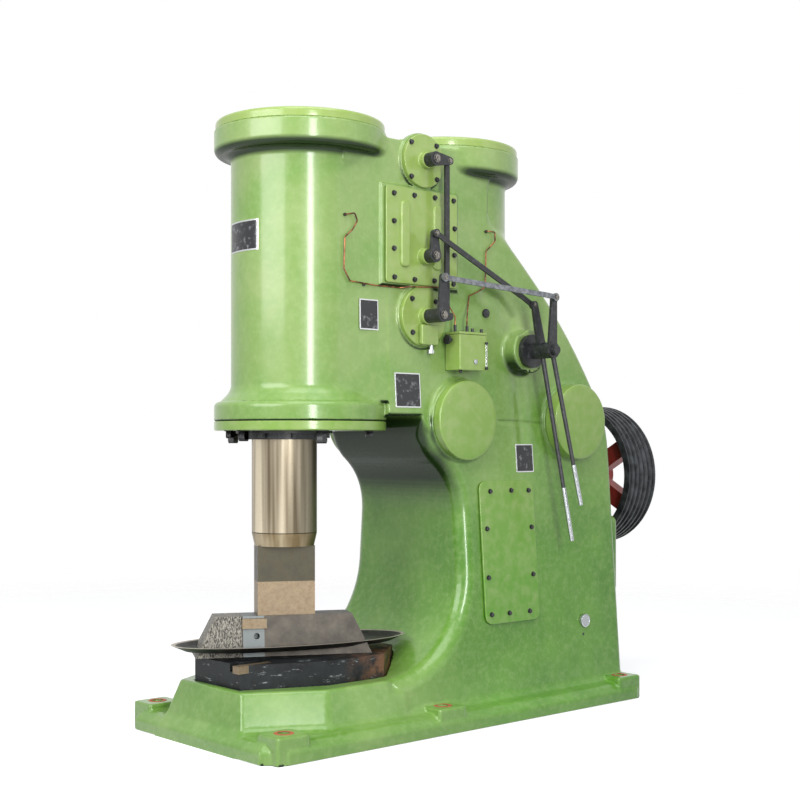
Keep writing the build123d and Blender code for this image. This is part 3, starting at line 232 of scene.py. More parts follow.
def floor_flange(x, ay, z):
    """Floor flange: outline distance met with a sloping upper face and a flat top, edges rounded."""
    outline = np.array([
        (BASE_FRONT, -1.0), (BASE_REAR, -1.0), (BASE_REAR, BASE_HALF - 40), (BASE_REAR - 40, BASE_HALF),
        (BASE_FRONT + 117, BASE_HALF), (BASE_FRONT, BASE_HALF - 102),
    ])
    rim = np.where(ay < 0, 0, outline_distance(outline, x, np.maximum(ay, 60)))
    rise = BASE_TOP - BASE_LIP
    slope = (rim * rise + (z - BASE_LIP) * BASE_SLOPE) / np.hypot(rise, BASE_SLOPE)
    body = round_and(round_and(rim, slope, 10), z - BASE_TOP, 16)
    return np.maximum(body, -z)


def cylinders(x, y, z):
    """Both cylinders: walls, thick head flanges on a hollow neck, and the front one's stepped foot flange."""
    rho = np.hypot(x - CASTING_X, y)
    wall = np.maximum(rho - WALL_R, np.maximum(FRONT_SHOULDER - 40 - z, z - COVER_SEAT + 84))
    head = round_and(rho - FRONT_FLANGE_R, COVER_SEAT - HEAD_THICK - z, HEAD_EDGE)
    head = round_and(head, z - COVER_SEAT, SEAT_EDGE)
    foot = round_and(rho - FRONT_FLANGE_R, z - FRONT_SHOULDER, 32)
    foot = round_and(foot, FRONT_BOTTOM - z, 12)
    cone_up, cone_in, cone_side = 48, 46, 66.5
    cone = ((rho - 450) * cone_up + (z - FRONT_SHOULDER) * cone_in) / cone_side
    cone = np.maximum(np.maximum(cone, FRONT_SHOULDER - 20 - z), z - 1920)
    front = round_or(round_or(wall, head, NECK_FILLET), np.minimum(foot, cone), 22)
    rho = np.hypot(x - REAR_CYL_X, y)
    wall = np.maximum(rho - WALL_R, np.maximum(WAIST_Z + 120 - z, z - COVER_SEAT + 84))
    head = round_and(rho - REAR_FLANGE_R, COVER_SEAT - REAR_HEAD_THICK - z, REAR_HEAD_EDGE)
    rear = round_or(wall, round_and(head, z - COVER_SEAT, SEAT_EDGE), REAR_NECK_FILLET)
    return front, rear


def column(x, ay, z, wide):
    """Side outline met with the leaning flanks, and the wedge that widens from bridge to front cylinder."""
    lean = np.cos(LEAN * (1 - mix(WAIST_Z, CHEST_Z, z)))
    edge = THROAT_EDGE + (BACK_EDGE - THROAT_EDGE) * mix(1000, 1500, x)
    edge = edge + (BRIDGE_EDGE - edge) * mix(1640, 1760, z) * (1 - mix(980, 1250, x))
    edge = edge + (CREST_EDGE - edge) * mix(2900, 3000, z)
    flanks = round_and(outline_distance(SIDE, x, z), (ay - wide) * lean, edge)
    t = (x - CASTING_X) / (BRIDGE_X - CASTING_X)
    wedge = np.maximum(ay - (WALL_R + (wide - WALL_R) * t), np.maximum(x - BRIDGE_X - 8, CASTING_X - x))
    wedge = round_and(np.maximum(wedge, z - BRIDGE_TOP), FRONT_SHOULDER - z, 12)
    return np.minimum(flanks, wedge)


def bearing_swell(x, ay, z):
    """Block that stands out of the back round the crankshaft's bearing, its edges rounded."""
    swell = round_and(x - COLUMN_REAR - SWELL_OUT, np.maximum(ay - SWELL_HALF, COLUMN_REAR - 60 - x), 44)
    return round_and(swell, np.abs(z - sum(SWELL_Z) / 2) - (SWELL_Z[1] - SWELL_Z[0]) / 2, 44)


def add_seats(body, x, y, z):
    """Raised seats of the round covers, the valves, the valve chest and the levers, run into the side."""
    ay = np.abs(y)
    for cx in (FRONT_COVER_X, REAR_COVER_X):
        body = round_or(body, bar_y(x, z, cx, ROUND_COVER_Z, ROUND_COVER_R + 4, ay, ROUND_SEAT), COVER_FILLET)
    for cz, r in ((UPPER_VALVE_Z, UPPER_DISC_R + 9), (LOWER_VALVE_Z, LOWER_DISC_R + 9)):
        pad = round_and(np.hypot(x - VALVE_X, z - cz) - r, ay - VALVE_SEAT, 4)
        body = round_or(body, np.maximum(pad, CHEST_HALF - 30 - ay), VALVE_FILLET)
    chest_long, chest_tall = 292.5, 281
    chest = np.maximum(
        np.abs(x - sum(CHEST_X) / 2) - chest_long, np.abs(z - sum(CHEST_COVER_Z) / 2) - chest_tall)
    chest = np.where(y < 0, round_and(chest, ay - VALVE_SEAT, 4), 1e3)
    body = round_or(body, chest, VALVE_FILLET)
    middle = round_and(np.hypot(x - VALVE_X, z - MIDDLE_VALVE_Z) - MIDDLE_CAP_R - 9, ay - VALVE_SEAT, 4)
    body = np.where(y > 0, round_or(body, middle, VALVE_FILLET), body)
    boss = np.where(y < 0, bar_y(x, z, LEVER_X, LEVER_Z, LEVER_BOSS_R, ay, LEVER_BOSS_FACE), 1e3)
    return round_or(body, boss, BOSS_FILLET)


def add_anchor_pads(body, x, ay, z):
    """Six raised pads of the anchor bolts on the base flange."""
    for cx in PAD_X:
        pad = round_and(np.abs(x - cx) - PAD_LONG / 2, np.abs(ay - PAD_Y) - PAD_WIDE / 2, 18)
        pad = np.maximum(pad, ay - BASE_HALF + 5)
        body = round_or(body, np.maximum(round_and(pad, z - PAD_TOP, 10), -z), 8)
    return body


def cut_bores(body, x, y, z):
    """Cylinder bore, anvil pocket, anchor holes and the bores of crankshaft and lever pin, edges broken."""
    ay = np.abs(y)
    bore = np.maximum(np.hypot(x, y) - BORE_R - 3, z - BORE_TOP)
    body = round_and(body, -bore, 2)
    pocket = outline_distance(np.array(ANVIL, float), x, y) - 6
    body = round_and(body, -np.maximum(pocket, z - 900), 7)
    for cx in PAD_X:
        body = round_and(body, ANCHOR_R - np.hypot(x - cx, ay - PAD_Y), 2)
    body = round_and(body, np.minimum(SHAFT_BORE_R - np.hypot(y, z - SHAFT_Z), x - COLUMN_REAR + 160), 3)
    return round_and(body, np.minimum(LEVER_BORE_R - np.hypot(x - LEVER_X, z - LEVER_Z), -466 - y), 2)


def casting_distance(x, y, z):
    """Distance in millimetres to the frame casting's surface, below zero inside: column, cylinders, foot,
    swell, seats and pads in rounded unions, less two soft valleys e^-(d/w)^2 and the bores, cut at the floor.
    """
    ay = np.abs(y)
    wide = half_width(z)
    front, rear = cylinders(x, y, z)
    high, back = mix(3080, 3160, z), mix(1260, 1430, x)
    meet = 2 + 24 * mix(3100, 3180, z) + 16 * (1 - mix(1850, 1930, z))
    body = round_or(column(x, ay, z, wide), front, meet)
    body = round_or(body, rear, 4 + 56 * back + 22 * high * (1 - back))
    foot = round_or(floor_flange(x, ay, z), octagon_pedestal(x, ay, z), 34)
    body = round_or(body, np.maximum(foot, -z), 6 + 44 * (1 - mix(220, 290, z)))
    body = round_or(body, bearing_swell(x, ay, z), 26)
    body = add_anchor_pads(add_seats(body, x, y, z), x, ay, z)
    hollow = VALLEY_DEEP * np.exp(-((path_distance(VALLEY, x, z) / VALLEY_WIDE) ** 2))
    hollow = hollow + GROOVE_DEEP * np.exp(-((path_distance(GROOVE, x, z) / GROOVE_WIDE) ** 2))
    body = body + hollow * mix(-60, -10, ay - wide)
    return np.maximum(cut_bores(body, x, y, z), -z)


# Corners of the grid box round the casting, how many grid planes are worked out at a time, a cell's corners
GRID_LOW, GRID_HIGH, SLAB = np.array([-622.0, -712.0, -16.0]), np.array([2396.0, 712.0, 3372.0]), 6
CELL_CORNERS = [(i, j, k) for i in (0, 1) for j in (0, 1) for k in (0, 1)]


def crossing_mean(field, cell):
    """For each cell the mean of the places where its twelve edges cross the surface, in grid steps."""
    total = np.zeros((len(cell), 3))
    hits = np.zeros(len(cell))
    for axis in range(3):
        for start in CELL_CORNERS:
            if start[axis]:
                continue
            a = cell + start
            b = a.copy()
            b[:, axis] += 1
            fa = field[tuple(a.T)].astype(float)
            fb = field[tuple(b.T)].astype(float)
            cut = (fa < 0) != (fb < 0)
            share = np.where(cut, fa / np.where(cut, fa - fb, 1), 0)
            total += np.where(cut[:, None], a + share[:, None] * (b - a), 0)
            hits += cut
    return total / hits[:, None]


def net_faces(inside, number):
    """One square round each grid edge that the surface crosses, joining its four cells, facing outwards."""
    faces = []
    for axis in range(3):
        u, v = [(1, 2), (2, 0), (0, 1)][axis]
        first = [slice(None)] * 3
        second = [slice(None)] * 3
        first[axis] = slice(0, -1)
        second[axis] = slice(1, None)
        a, b = inside[tuple(first)], inside[tuple(second)]
        where = np.argwhere(a != b)
        where = where[(where[:, u] > 0) & (where[:, v] > 0)]
        where = where[(where[:, u] < number.shape[u]) & (where[:, v] < number.shape[v])]
        quad = []
        for du, dv in ((-1, -1), (0, -1), (0, 0), (-1, 0)):
            c = where.copy()
            c[:, u] += du
            c[:, v] += dv
            quad.append(number[tuple(c.T)])
        quad = np.stack(quad, -1)
        flip = ~a[tuple(where.T)]
        quad[flip] = quad[flip][:, ::-1]
        faces.append(quad)
    return np.concatenate(faces)


def surface_net(step):
    """Surface of the casting on a cubic grid: one point in each cell the surface crosses, moved along the
    gradient until the distance is zero. Returns points, their normals, which are the gradient, and faces."""
    xs, ys, zs = [np.arange(a, b + step, step) for a, b in zip(GRID_LOW, GRID_HIGH)]
    field = np.empty((len(xs), len(ys), len(zs)), np.float32)
    for i in range(0, len(xs), SLAB):
        field[i:i + SLAB] = casting_distance(xs[i:i + SLAB, None, None], ys[None, :, None], zs[None, None, :])
    inside = field < 0
    nx, ny, nz = [n - 1 for n in field.shape]
    count = sum(inside[i:i + nx, j:j + ny, k:k + nz].astype(np.int8) for i, j, k in CELL_CORNERS)
    active = (count > 0) & (count < 8)
    cell = np.argwhere(active)
    number = np.full(active.shape, -1, np.int64)
    number[active] = np.arange(len(cell))
    points, normals = settle(GRID_LOW + crossing_mean(field, cell) * step, step)
    return points, normals, net_faces(inside, number)


def gradient(p):
    """Slope of the distance by central differences."""
    reach = 0.8
    parts = []
    for axis in range(3):
        shift = np.zeros(3)
        shift[axis] = reach
        a, b = p + shift, p - shift
        parts.append((casting_distance(*a.T) - casting_distance(*b.T)) / (2 * reach))
    return np.stack(parts, -1)


def settle(points, step):
    """Newton steps p - d g / |g|^2 on to the surface, each held to less than a grid cell."""
    slope = gradient(points)
    for _ in range(3):
        distance = casting_distance(*points.T)
        move = -distance[:, None] * slope / np.maximum((slope**2).sum(1), 0.2)[:, None]
        size = np.linalg.norm(move, axis=1, keepdims=True)
        points = points + move * np.minimum(1, 0.6 * step / np.maximum(size, 1e-9))
        slope = gradient(points)
    return points, slope / np.maximum(np.linalg.norm(slope, axis=1, keepdims=True), 1e-9)


# Meshes


def add_mesh(name, points, faces, normals=None):
    """Object from points in millimetres and a list of face arrays, each with one number of corners."""
    mesh = bpy.data.meshes.new(name)
    mesh.vertices.add(len(points))
    metres = np.asarray(points, np.float64) * 0.001
    mesh.vertices.foreach_set("co", metres.astype(np.float32).ravel())
    faces = [np.asarray(f, np.int32) for f in faces if len(f)]
    corners = np.concatenate([f.ravel() for f in faces])
    sizes = np.concatenate([np.full(len(f), f.shape[1], np.int32) for f in faces])
    mesh.loops.add(len(corners))
    mesh.loops.foreach_set("vertex_index", corners)
    mesh.polygons.add(len(sizes))
    mesh.polygons.foreach_set("loop_start", np.concatenate([[0], np.cumsum(sizes)[:-1]]).astype(np.int32))
    mesh.update(calc_edges=True)
    if mesh.validate():
        raise RuntimeError(f"{name} has a broken mesh")
    mesh.shade_smooth()
    if normals is None:
        normals = area_normals(np.asarray(points, float), faces)
    mesh.normals_split_custom_set_from_vertices(np.asarray(normals, np.float32))
    obj = bpy.data.objects.new(name, mesh)
    bpy.context.scene.collection.objects.link(obj)
    return obj


def area_normals(points, faces):
    """Vertex normals as the sum of the area vectors of the faces that meet there, so flat faces stay flat."""
    total = np.zeros((len(points), 3))
    for f in faces:
        p = points[f]
        origin = p[:, :1]
        area = np.cross(p - origin, np.roll(p, -1, 1) - origin).sum(1)
        for corner in range(f.shape[1]):
            np.add.at(total, f[:, corner], area)
    return total / np.maximum(np.linalg.norm(total, axis=1, keepdims=True), 1e-12)


def rings_mesh(name, stacks):
    """One mesh from stacks of closed rings, rows x points x 3. A stack is capped at both ends, or it is given
    as (rings, True) and its last ring joins its first, as on a tyre."""
    points, quads, caps = [], [], {}
    base = 0
    for rings in stacks:
        wrap = isinstance(rings, tuple)
        rings = np.asarray(rings[0] if wrap else rings, float)
        rows, count = rings.shape[:2]
        number = base + np.arange(rows * count).reshape(rows, count)
        a, b = number[:-1], number[1:]
        if wrap:
            a, b = number, np.roll(number, -1, 0)
        quad = np.stack([a, np.roll(a, -1, 1), np.roll(b, -1, 1), b], -1).reshape(-1, 4)
        low, high = number[:1, ::-1], number[-1:]
        if stack_volume(np.concatenate([rings, rings[:1]]) if wrap else rings) < 0:
            quad, low, high = quad[:, ::-1], low[:, ::-1], high[:, ::-1]
        quads.append(quad)
        if not wrap:
            caps.setdefault(count, []).extend([low, high])
        points.append(rings.reshape(-1, 3))
        base += rows * count
    faces = [np.concatenate(quads)] + [np.concatenate(c) for c in caps.values()]
    return add_mesh(name, np.concatenate(points), faces)


def stack_volume(rings):
    """Six times the signed volume between the rings, from the corner triples p . (q x r) of each face: below
    zero when the faces point inwards."""
    origin = rings.reshape(-1, 3).mean(0)
    r = rings - origin
    a, b = r[:-1], r[1:]
    a1, b1 = np.roll(a, -1, 1), np.roll(b, -1, 1)
    sides = np.einsum("ijk,ijk->", np.cross(a, a1), b1) + np.einsum("ijk,ijk->", np.cross(a, b1), b)
    ends = 0
    for ring, sign in ((r[0], -1), (r[-1], 1)):
        centre = np.broadcast_to(ring.mean(0), ring.shape)
        ends += sign * np.einsum("jk,jk->", np.cross(ring, np.roll(ring, -1, 0)), centre)
    return sides + ends


def corner_curve(before, corner, after, r, share, steps):
    """Rounded corner c of about radius r from touching point p to q: (1-t)^2 p + 2t(1-t) c + t^2 q. Neither
    point lies further along its side than the share of it that is given."""
    a, b = before - corner, after - corner
    la, lb = np.hypot(*a), np.hypot(*b)
    half = np.arccos(np.clip(a @ b / (la * lb), -1, 1)) / 2
    reach = min(r / np.tan(half), share[0] * la, share[1] * lb)
    t = np.linspace(0, 1, steps)[:, None]
    p, q = corner + a / la * reach, corner + b / lb * reach
    return (1 - t) ** 2 * p + 2 * t * (1 - t) * corner + t**2 * q


def rounded(profile, radii, steps=5):
    """Profile (radius, height) with each corner rounded by the radius given for it; its ends stay sharp."""
    profile = np.asarray(profile, float)
    out = [profile[0]]
    last = len(profile) - 1
    for i in range(1, last):
        if radii[i] > 0:
            share = 0.49 if i > 1 else 1, 0.49 if i < last - 1 else 1
            out.extend(corner_curve(profile[i - 1], profile[i], profile[i + 1], radii[i], share, steps))
        else:
            out.append(profile[i])
    return np.array(out + [profile[last]])


def lathe(profile, origin, axis, count):
    """Rings of a turned body: (r cos a, r sin a, h) for each profile point (r, h), laid along an axis."""
    a = np.linspace(0, 2 * np.pi, count, endpoint=False)
    r, h = np.asarray(profile, float).T
    height = np.broadcast_to(h[:, None], (len(r), count))
    return oriented(np.stack([r[:, None] * np.cos(a), r[:, None] * np.sin(a), height], -1), origin, axis)


def oriented(p, origin, axis):
    """Turn local x, y, z so that local z runs along the named axis, then move to origin."""
    x, y, z = np.moveaxis(p, -1, 0)
    turned = {"z": (x, y, z), "-z": (x, -y, -z), "y": (x, z, -y), "-y": (x, -z, y)}[axis]
    return np.stack(turned, -1) + np.asarray(origin, float)


def inset(outline, depth):
    """Closed outline moved inwards by depth along its corner bisectors."""
    outline = np.asarray(outline, float)
    before, after = outline - np.roll(outline, 1, 0), np.roll(outline, -1, 0) - outline
    before /= np.linalg.norm(before, axis=1, keepdims=True)
    after /= np.linalg.norm(after, axis=1, keepdims=True)
    area = (outline[:, 0] * np.roll(outline[:, 1], -1) - outline[:, 1] * np.roll(outline[:, 0], -1)).sum()
    n0 = np.stack([-before[:, 1], before[:, 0]], -1)
    n1 = np.stack([-after[:, 1], after[:, 0]], -1)
    middle = n0 + n1
    middle /= np.maximum((middle**2).sum(1, keepdims=True) / 2, 0.3)
    return outline + np.sign(area) * middle * depth


def plate(outline, low, high, edge, edge_low=0.0, steps=4):
    """Rings of a plate: the outline between two heights, with rounded upper and lower edges."""
    rings = []
    angles = np.linspace(0, np.pi / 2, steps)
    if edge_low > 0:
        for a in angles[::-1]:
            rings.append((inset(outline, edge_low * (1 - np.cos(a))), low + edge_low * (1 - np.sin(a))))
    else:
        rings.append((np.asarray(outline, float), low))
    for a in angles:
        rings.append((inset(outline, edge * (1 - np.cos(a))), high - edge * (1 - np.sin(a))))
    return np.stack([np.column_stack([ring, np.full(len(ring), z)]) for ring, z in rings])


def rectangle(x0, x1, y0, y1, r, steps=6):
    """Closed outline of a rectangle with rounded corners."""
    corners = np.array([(x0, y0), (x1, y0), (x1, y1), (x0, y1)], float)
    around = zip(np.roll(corners, 1, 0), corners, np.roll(corners, -1, 0))
    return np.concatenate([corner_curve(a, corner, b, r, (0.48, 0.48), steps) for a, corner, b in around])


def hex_bolts(places, r, high, washer=0.0):
    """Hexagon heads, each a little turned from the last, on washers. Places are (x, y, z, axis). A head is
    three rings of paired corners, the uppermost one drawn in."""
    stacks = []
    pair = np.radians(np.array([-3, 3]))
    for i, (x, y, z, axis) in enumerate(places):
        a = (np.radians(np.arange(6) * 60.0 + 17.0 * i)[:, None] + pair).ravel()
        rings = []
        for radius, h in ((r, 0), (r, high * 0.82), (r * 0.86, high)):
            rings.append(np.stack([radius * np.cos(a), radius * np.sin(a), np.full(12, h + washer)], -1))
        stacks.append(oriented(np.array(rings), (x, y, z), axis))
        if washer:
            disc = [(r * 1.28, 0), (r * 1.28, washer * 0.8), (r * 1.2, washer)]
            stacks.append(lathe(disc, (x, y, z), axis, 16))
    return stacks


def on_valve_side(stack, x=0.0, y=-VALVE_SEAT, z=0.0):
    """Stand a plate's rings, drawn flat, up against the valve side: x across, y up, thickness outwards."""
    return np.stack([x + stack[..., 0], y - stack[..., 2], z + stack[..., 1]], -1)


def wall_y(x, z):
    """Place on the casting's valve side at (x, z), found by stepping in from outside by the distance left."""
    y = np.full(np.shape(x), -690.0)
    for _ in range(60):
        y = y + np.maximum(casting_distance(np.asarray(x, float), y, np.asarray(z, float)), 0)
    return y


def wall_at(x, z):
    """The same at one place, as a plain number."""
    return float(wall_y(np.array([x]), np.array([z]))[0])


def dress(obj, body, slot, material, *nodes):
    """Finish a piece: its material, the body it moves with and the CAD nodes it stands for. The slot is not
    used.
    """
    obj.data.materials.clear()
    obj.data.materials.append(material)
    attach(obj, body)
    if nodes:
        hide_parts(*nodes)


# Materials. Patterns read Object coordinates, in metres. Where a node's inputs are a list, they are in the
# order of its sockets: a noise has place, scale, detail and roughness, a range has value, from low and high,
# to low and high, and a mix has its share and the two colours. EVEN is a plain noise's roughness.

NOISE, RANGE, MIX, MATH = "ShaderNodeTexNoise", "ShaderNodeMapRange", "ShaderNodeMix", "ShaderNodeMath"
VECTOR_MATH, STRETCH, SPLIT = "ShaderNodeVectorMath", "ShaderNodeMapping", "ShaderNodeSeparateXYZ"
BUMP, SOFT_EDGE = "ShaderNodeBump", "ShaderNodeBevel"
EVEN = 0.55


def colour(code):
    """Linear RGBA from an sRGB hex code."""
    s = np.array([int(code[i:i + 2], 16) for i in (1, 3, 5)]) / 255
    linear = np.where(s <= 0.04045, s / 12.92, ((s + 0.055) / 1.055) ** 2.4)
    return (*[float(c) for c in linear], 1.0)


def lumps(size_mm):
    """Noise scale for lumps about that many millimetres across."""
    return 1000.0 / size_mm


def feed(n, inputs):
    """Fill a node's sockets, given by name or as a list in order: each takes a value, a socket or another
    node's first live output."""
    if isinstance(inputs, dict):
        pairs = [(n.inputs[name], value) for name, value in inputs.items()]
    else:
        pairs = list(zip([socket for socket in n.inputs if socket.enabled], inputs))
    for socket, value in pairs:
        if isinstance(value, bpy.types.Node):
            value = next(output for output in value.outputs if output.enabled)
        if isinstance(value, bpy.types.NodeSocket):
            n.id_data.links.new(value, socket)
        else:
            socket.default_value = value


def node(tree, kind, inputs=(), **settings):
    """Add a node with its own settings and its inputs."""
    n = tree.nodes.new(kind)
    for name, value in settings.items():
        setattr(n, name, value)
    feed(n, inputs)
    return n


def new_material(name, base, rough, metallic=0.0, **sockets):
    """Material with its constant values set; returns material, tree, shader and the object coordinates."""
    material = bpy.data.materials.new(name)
    material.use_nodes = True
    tree = material.node_tree
    shader = tree.nodes["Principled BSDF"]
    feed(shader, {"Base Color": colour(base), "Roughness": rough, "Metallic": metallic})
    feed(shader, {socket.replace("_", " "): value for socket, value in sockets.items()})
    return material, tree, shader, node(tree, "ShaderNodeTexCoord").outputs["Object"]


def relief(shader, layers, under=None):
    """Stack bumps on a shader, coarse to fine: each layer is a height and its real depth in millimetres."""
    for height, depth_mm in layers:
        inputs = {"Height": height, "Distance": depth_mm * 0.001}
        if under is not None:
            inputs["Normal"] = under
        under = node(shader.id_data, BUMP, inputs)
    feed(shader, {"Normal": under})


def layered(tree, base, *layers):
    """Tones laid over a base: each layer is its share and its tone, a hex code or another stack."""
    for share, tone in layers:
        tones = [colour(c) if isinstance(c, str) else c for c in (base, tone)]
        base = node(tree, MIX, [share, *tones], data_type="RGBA")
    return base


def green_enamel():
    """Gloss enamel brushed over a filled sand casting: long soft waves, chalky flecks, painted light that
    makes it paler towards the top and at the front, and painted shade, near black and dull, under the flanges
    and on the throat's wall."""
    m, t, s, at = new_material("gloss_green_enamel_on_cast_iron", "#7DA850", 0.32, Coat_Weight=0.55,
                               Coat_Roughness=0.15, Specular_IOR_Level=0.3)
    patch = node(t, RANGE, [node(t, NOISE, [at, lumps(420), 4, EVEN]), 0.38, 0.66])
    fine = node(t, NOISE, [at, lumps(38), 5, 0.7])
    specks = node(t, RANGE, [node(t, NOISE, [at, lumps(9), 2, 0.6]), 0.68, 0.76, 0, 0.2])
    where = node(t, SPLIT, [at])
    # Painted light: the lit tone is laid over the shaded tone higher up, along a wandering edge, and at the
    # front.
    wander = node(t, RANGE, [node(t, NOISE, [at, lumps(700), 2, EVEN]), 0.3, 0.7, -0.35, 0.35])
    level = node(t, MATH, [where.outputs["Z"], wander], operation="ADD")
    upward = node(t, RANGE, [level, 0.8, 2.1])
    painted_light_at_front = node(t, RANGE, [where.outputs["X"], 0.4, 1.1, 0.55, 0])
    high = node(t, MATH, [upward, painted_light_at_front], operation="MAXIMUM")
    painted_shaded_tone = layered(t, "#467A18", (patch, "#5B8F2A"))
    painted_lit_tone = layered(t, "#6C9142", (patch, "#859D5C"))
    chalk = node(t, RANGE, [fine, 0.45, 0.72, 0, 0.3])
    # Painted shade: faces that look down and the throat's wall under the bridge get a near-black tone, less
    # shine and more roughness.
    facing = node(t, SPLIT, [node(t, "ShaderNodeTexCoord").outputs["Normal"]])
    under = node(t, RANGE, [facing.outputs["Z"], -0.55, -0.05, 1, 0])
    wall = node(t, "ShaderNodeAttribute", attribute_name="painted_shade_mask").outputs["Fac"]
    painted_shade = node(t, MATH, [under, wall], operation="MAXIMUM")
    painted_shade_share = node(t, RANGE, [painted_shade, 0, 1, 0, 0.95])
    even = node(t, RANGE, [fine, 0.3, 0.75, 0.28, 0.42])
    feed(s, {
        "Base Color": layered(
            t, painted_shaded_tone, (high, painted_lit_tone), (chalk, "#97AF74"), (specks, "#4F7A30"), (painted_shade_share, "#12260F")),
        "Specular IOR Level": node(t, RANGE, [painted_shade, 0, 1, 0.3, 0.02]),
        "Roughness": node(t, MIX, [painted_shade, even, 0.8]),
    })
    waves = node(t, NOISE, [at, lumps(240), 2, EVEN])
    filler = node(t, NOISE, [at, lumps(42), 3, EVEN])
    skin = node(t, NOISE, [at, lumps(5), 2, EVEN])
    relief(s, [(waves, 5.0), (filler, 0.7), (skin, 0.05)])
    return m


def cover_enamel():
    """The same enamel on machined covers, a little more even, with painted light that makes it paler higher
    up.
    """
    m, t, s, at = new_material("gloss_green_enamel_on_covers", "#7DA850", 0.3, Coat_Weight=0.5,
                               Coat_Roughness=0.14, Specular_IOR_Level=0.3)
    # Painted light: a paler tone higher up.
    high = node(t, RANGE, [node(t, SPLIT, [at]).outputs["Z"], 0.8, 2.3])
    chalk = node(t, RANGE, [node(t, NOISE, [at, lumps(60), 4, EVEN]), 0.4, 0.7, 0, 0.4])
    feed(s, {"Base Color": layered(t, "#5B9128", (high, "#86A04E"), (chalk, "#9AAA70"))})
    waves = node(t, NOISE, [at, lumps(120), 2, EVEN])
    skin = node(t, NOISE, [at, lumps(6), 2, EVEN])
    relief(s, [(waves, 1.4), (skin, 0.05)])
    return m


def soft_edged(shader, at, radius_mm, size_mm, depth_mm):
    """Shading for the CAD pieces: edges softened by a radius, under a fine bump of one size and depth."""
    tree = shader.id_data
    grain = node(tree, NOISE, [at, lumps(size_mm), 3, EVEN])
    relief(shader, [(grain, depth_mm)], node(tree, SOFT_EDGE, [radius_mm * 0.001], samples=4))


def black_paint():
    """Black paint brushed on forged steel, worn grey along the flats."""
    m, t, s, at = new_material("black_paint_on_forged_steel", "#1E1F21", 0.42)
    wear = node(t, NOISE, [at, lumps(30), 5, 0.7])
    rubbed = node(t, RANGE, [wear, 0.52, 0.75])
    feed(s, {
        "Base Color": layered(t, "#1B1C1E", (rubbed, "#4A4C50")),
        "Roughness": node(t, RANGE, [wear, 0.3, 0.8, 0.34, 0.6]),
    })
    soft_edged(s, at, 2.0, 12, 0.12)
    return m


def grey_steel():
    """Flat bar of mill steel under a greyish lacquer, a little cloudy."""
    m, t, s, at = new_material("lacquered_grey_bar_steel", "#6E7175", 0.4, 0.55)
    wear = node(t, RANGE, [node(t, NOISE, [at, lumps(26), 5, EVEN]), 0.4, 0.7])
    feed(s, {"Base Color": layered(t, "#5C5F64", (wear, "#8A8D90"))})
    soft_edged(s, at, 1.5, 8, 0.08)
    return m


def chrome():
    """Hard chrome on the grips and the lubricator's plug: bright, with duller handled spots."""
    m, t, s, at = new_material("chrome_plated_steel", "#A4A8AB", 0.16, 1.0)
    handled = node(t, NOISE, [at, lumps(14), 3, EVEN])
    feed(s, {"Roughness": node(t, RANGE, [handled, 0.3, 0.8, 0.1, 0.28])})
    return m


def worn_steel():
    """Bare worn steel of the nuts on the arms and levers: dark oily spots on bright metal."""
    m, t, s, at = new_material("bare_worn_steel", "#77756F", 0.36, 1.0)
    oily = node(t, RANGE, [node(t, NOISE, [at, lumps(7), 4, EVEN]), 0.35, 0.65])
    feed(s, {"Base Color": layered(t, "#3F3D3A", (oily, "#A09C94"))})
    return m


def zinc():
    """Zinc plated plugs and fittings: pale grey, dull in small spots."""
    m, t, s, at = new_material("zinc_plated_steel", "#B9BDC0", 0.34, 1.0)
    dull = node(t, NOISE, [at, lumps(9), 3, EVEN])
    feed(s, {"Roughness": node(t, RANGE, [dull, 0.3, 0.8, 0.26, 0.46])})
    return m


def turned_steel():
    """Ground ram: very fine rings round it, upright bands that vary its gloss and paint pale reflections on
    it, warm stain, and painted shade that darkens it round to the right. Below one dark line it is browner.
    The rings are drawn coarser than they are, to show."""
    m, t, s, at = new_material("ground_ram_steel", "#B9AC98", 0.3, 1.0, Anisotropic=0.55)
    rings = node(t, NOISE, [node(t, STRETCH, {"Vector": at, "Scale": (0.03, 0.03, 1)}), lumps(2.2), 2, EVEN])
    bands = node(t, NOISE, [node(t, STRETCH, {"Vector": at, "Scale": (1, 1, 0.03)}), lumps(70), 2, EVEN])
    stain = node(t, RANGE, [node(t, NOISE, [at, lumps(16), 5, 0.75]), 0.58, 0.72, 0, 0.5])
    across = node(t, VECTOR_MATH, [at, (0.72, -0.69, 0.0)], operation="DOT_PRODUCT")
    height = node(t, SPLIT, [at]).outputs["Z"]
    # Painted reflection: the upright bands lay pale streaks in the colour; they also vary the roughness.
    bright = node(t, RANGE, [bands, 0.4, 0.62])
    # Painted shade: darker round to the right side.
    painted_shade_right = node(t, RANGE, [across, 0.02, 0.15, 0, 0.72])
    below = node(t, RANGE, [height, (RAM_LINE_Z - 4) / 1000, RAM_LINE_Z / 1000, 0.6, 0])
    line = node(t, MATH, [height, RAM_LINE_Z / 1000, 0.0025], operation="COMPARE")
    feed(s, {
        "Base Color": layered(
            t, "#6B604E", (bright, "#C8BDA6"), (stain, "#7A6248"), (painted_shade_right, "#3B372D"), (below, "#6B5A3C"),
            (line, "#3A3428")),
        "Roughness": node(t, RANGE, [bands, 0.3, 0.7, 0.26, 0.42]),
    })
    relief(s, [(rings, 0.02)])
    return m


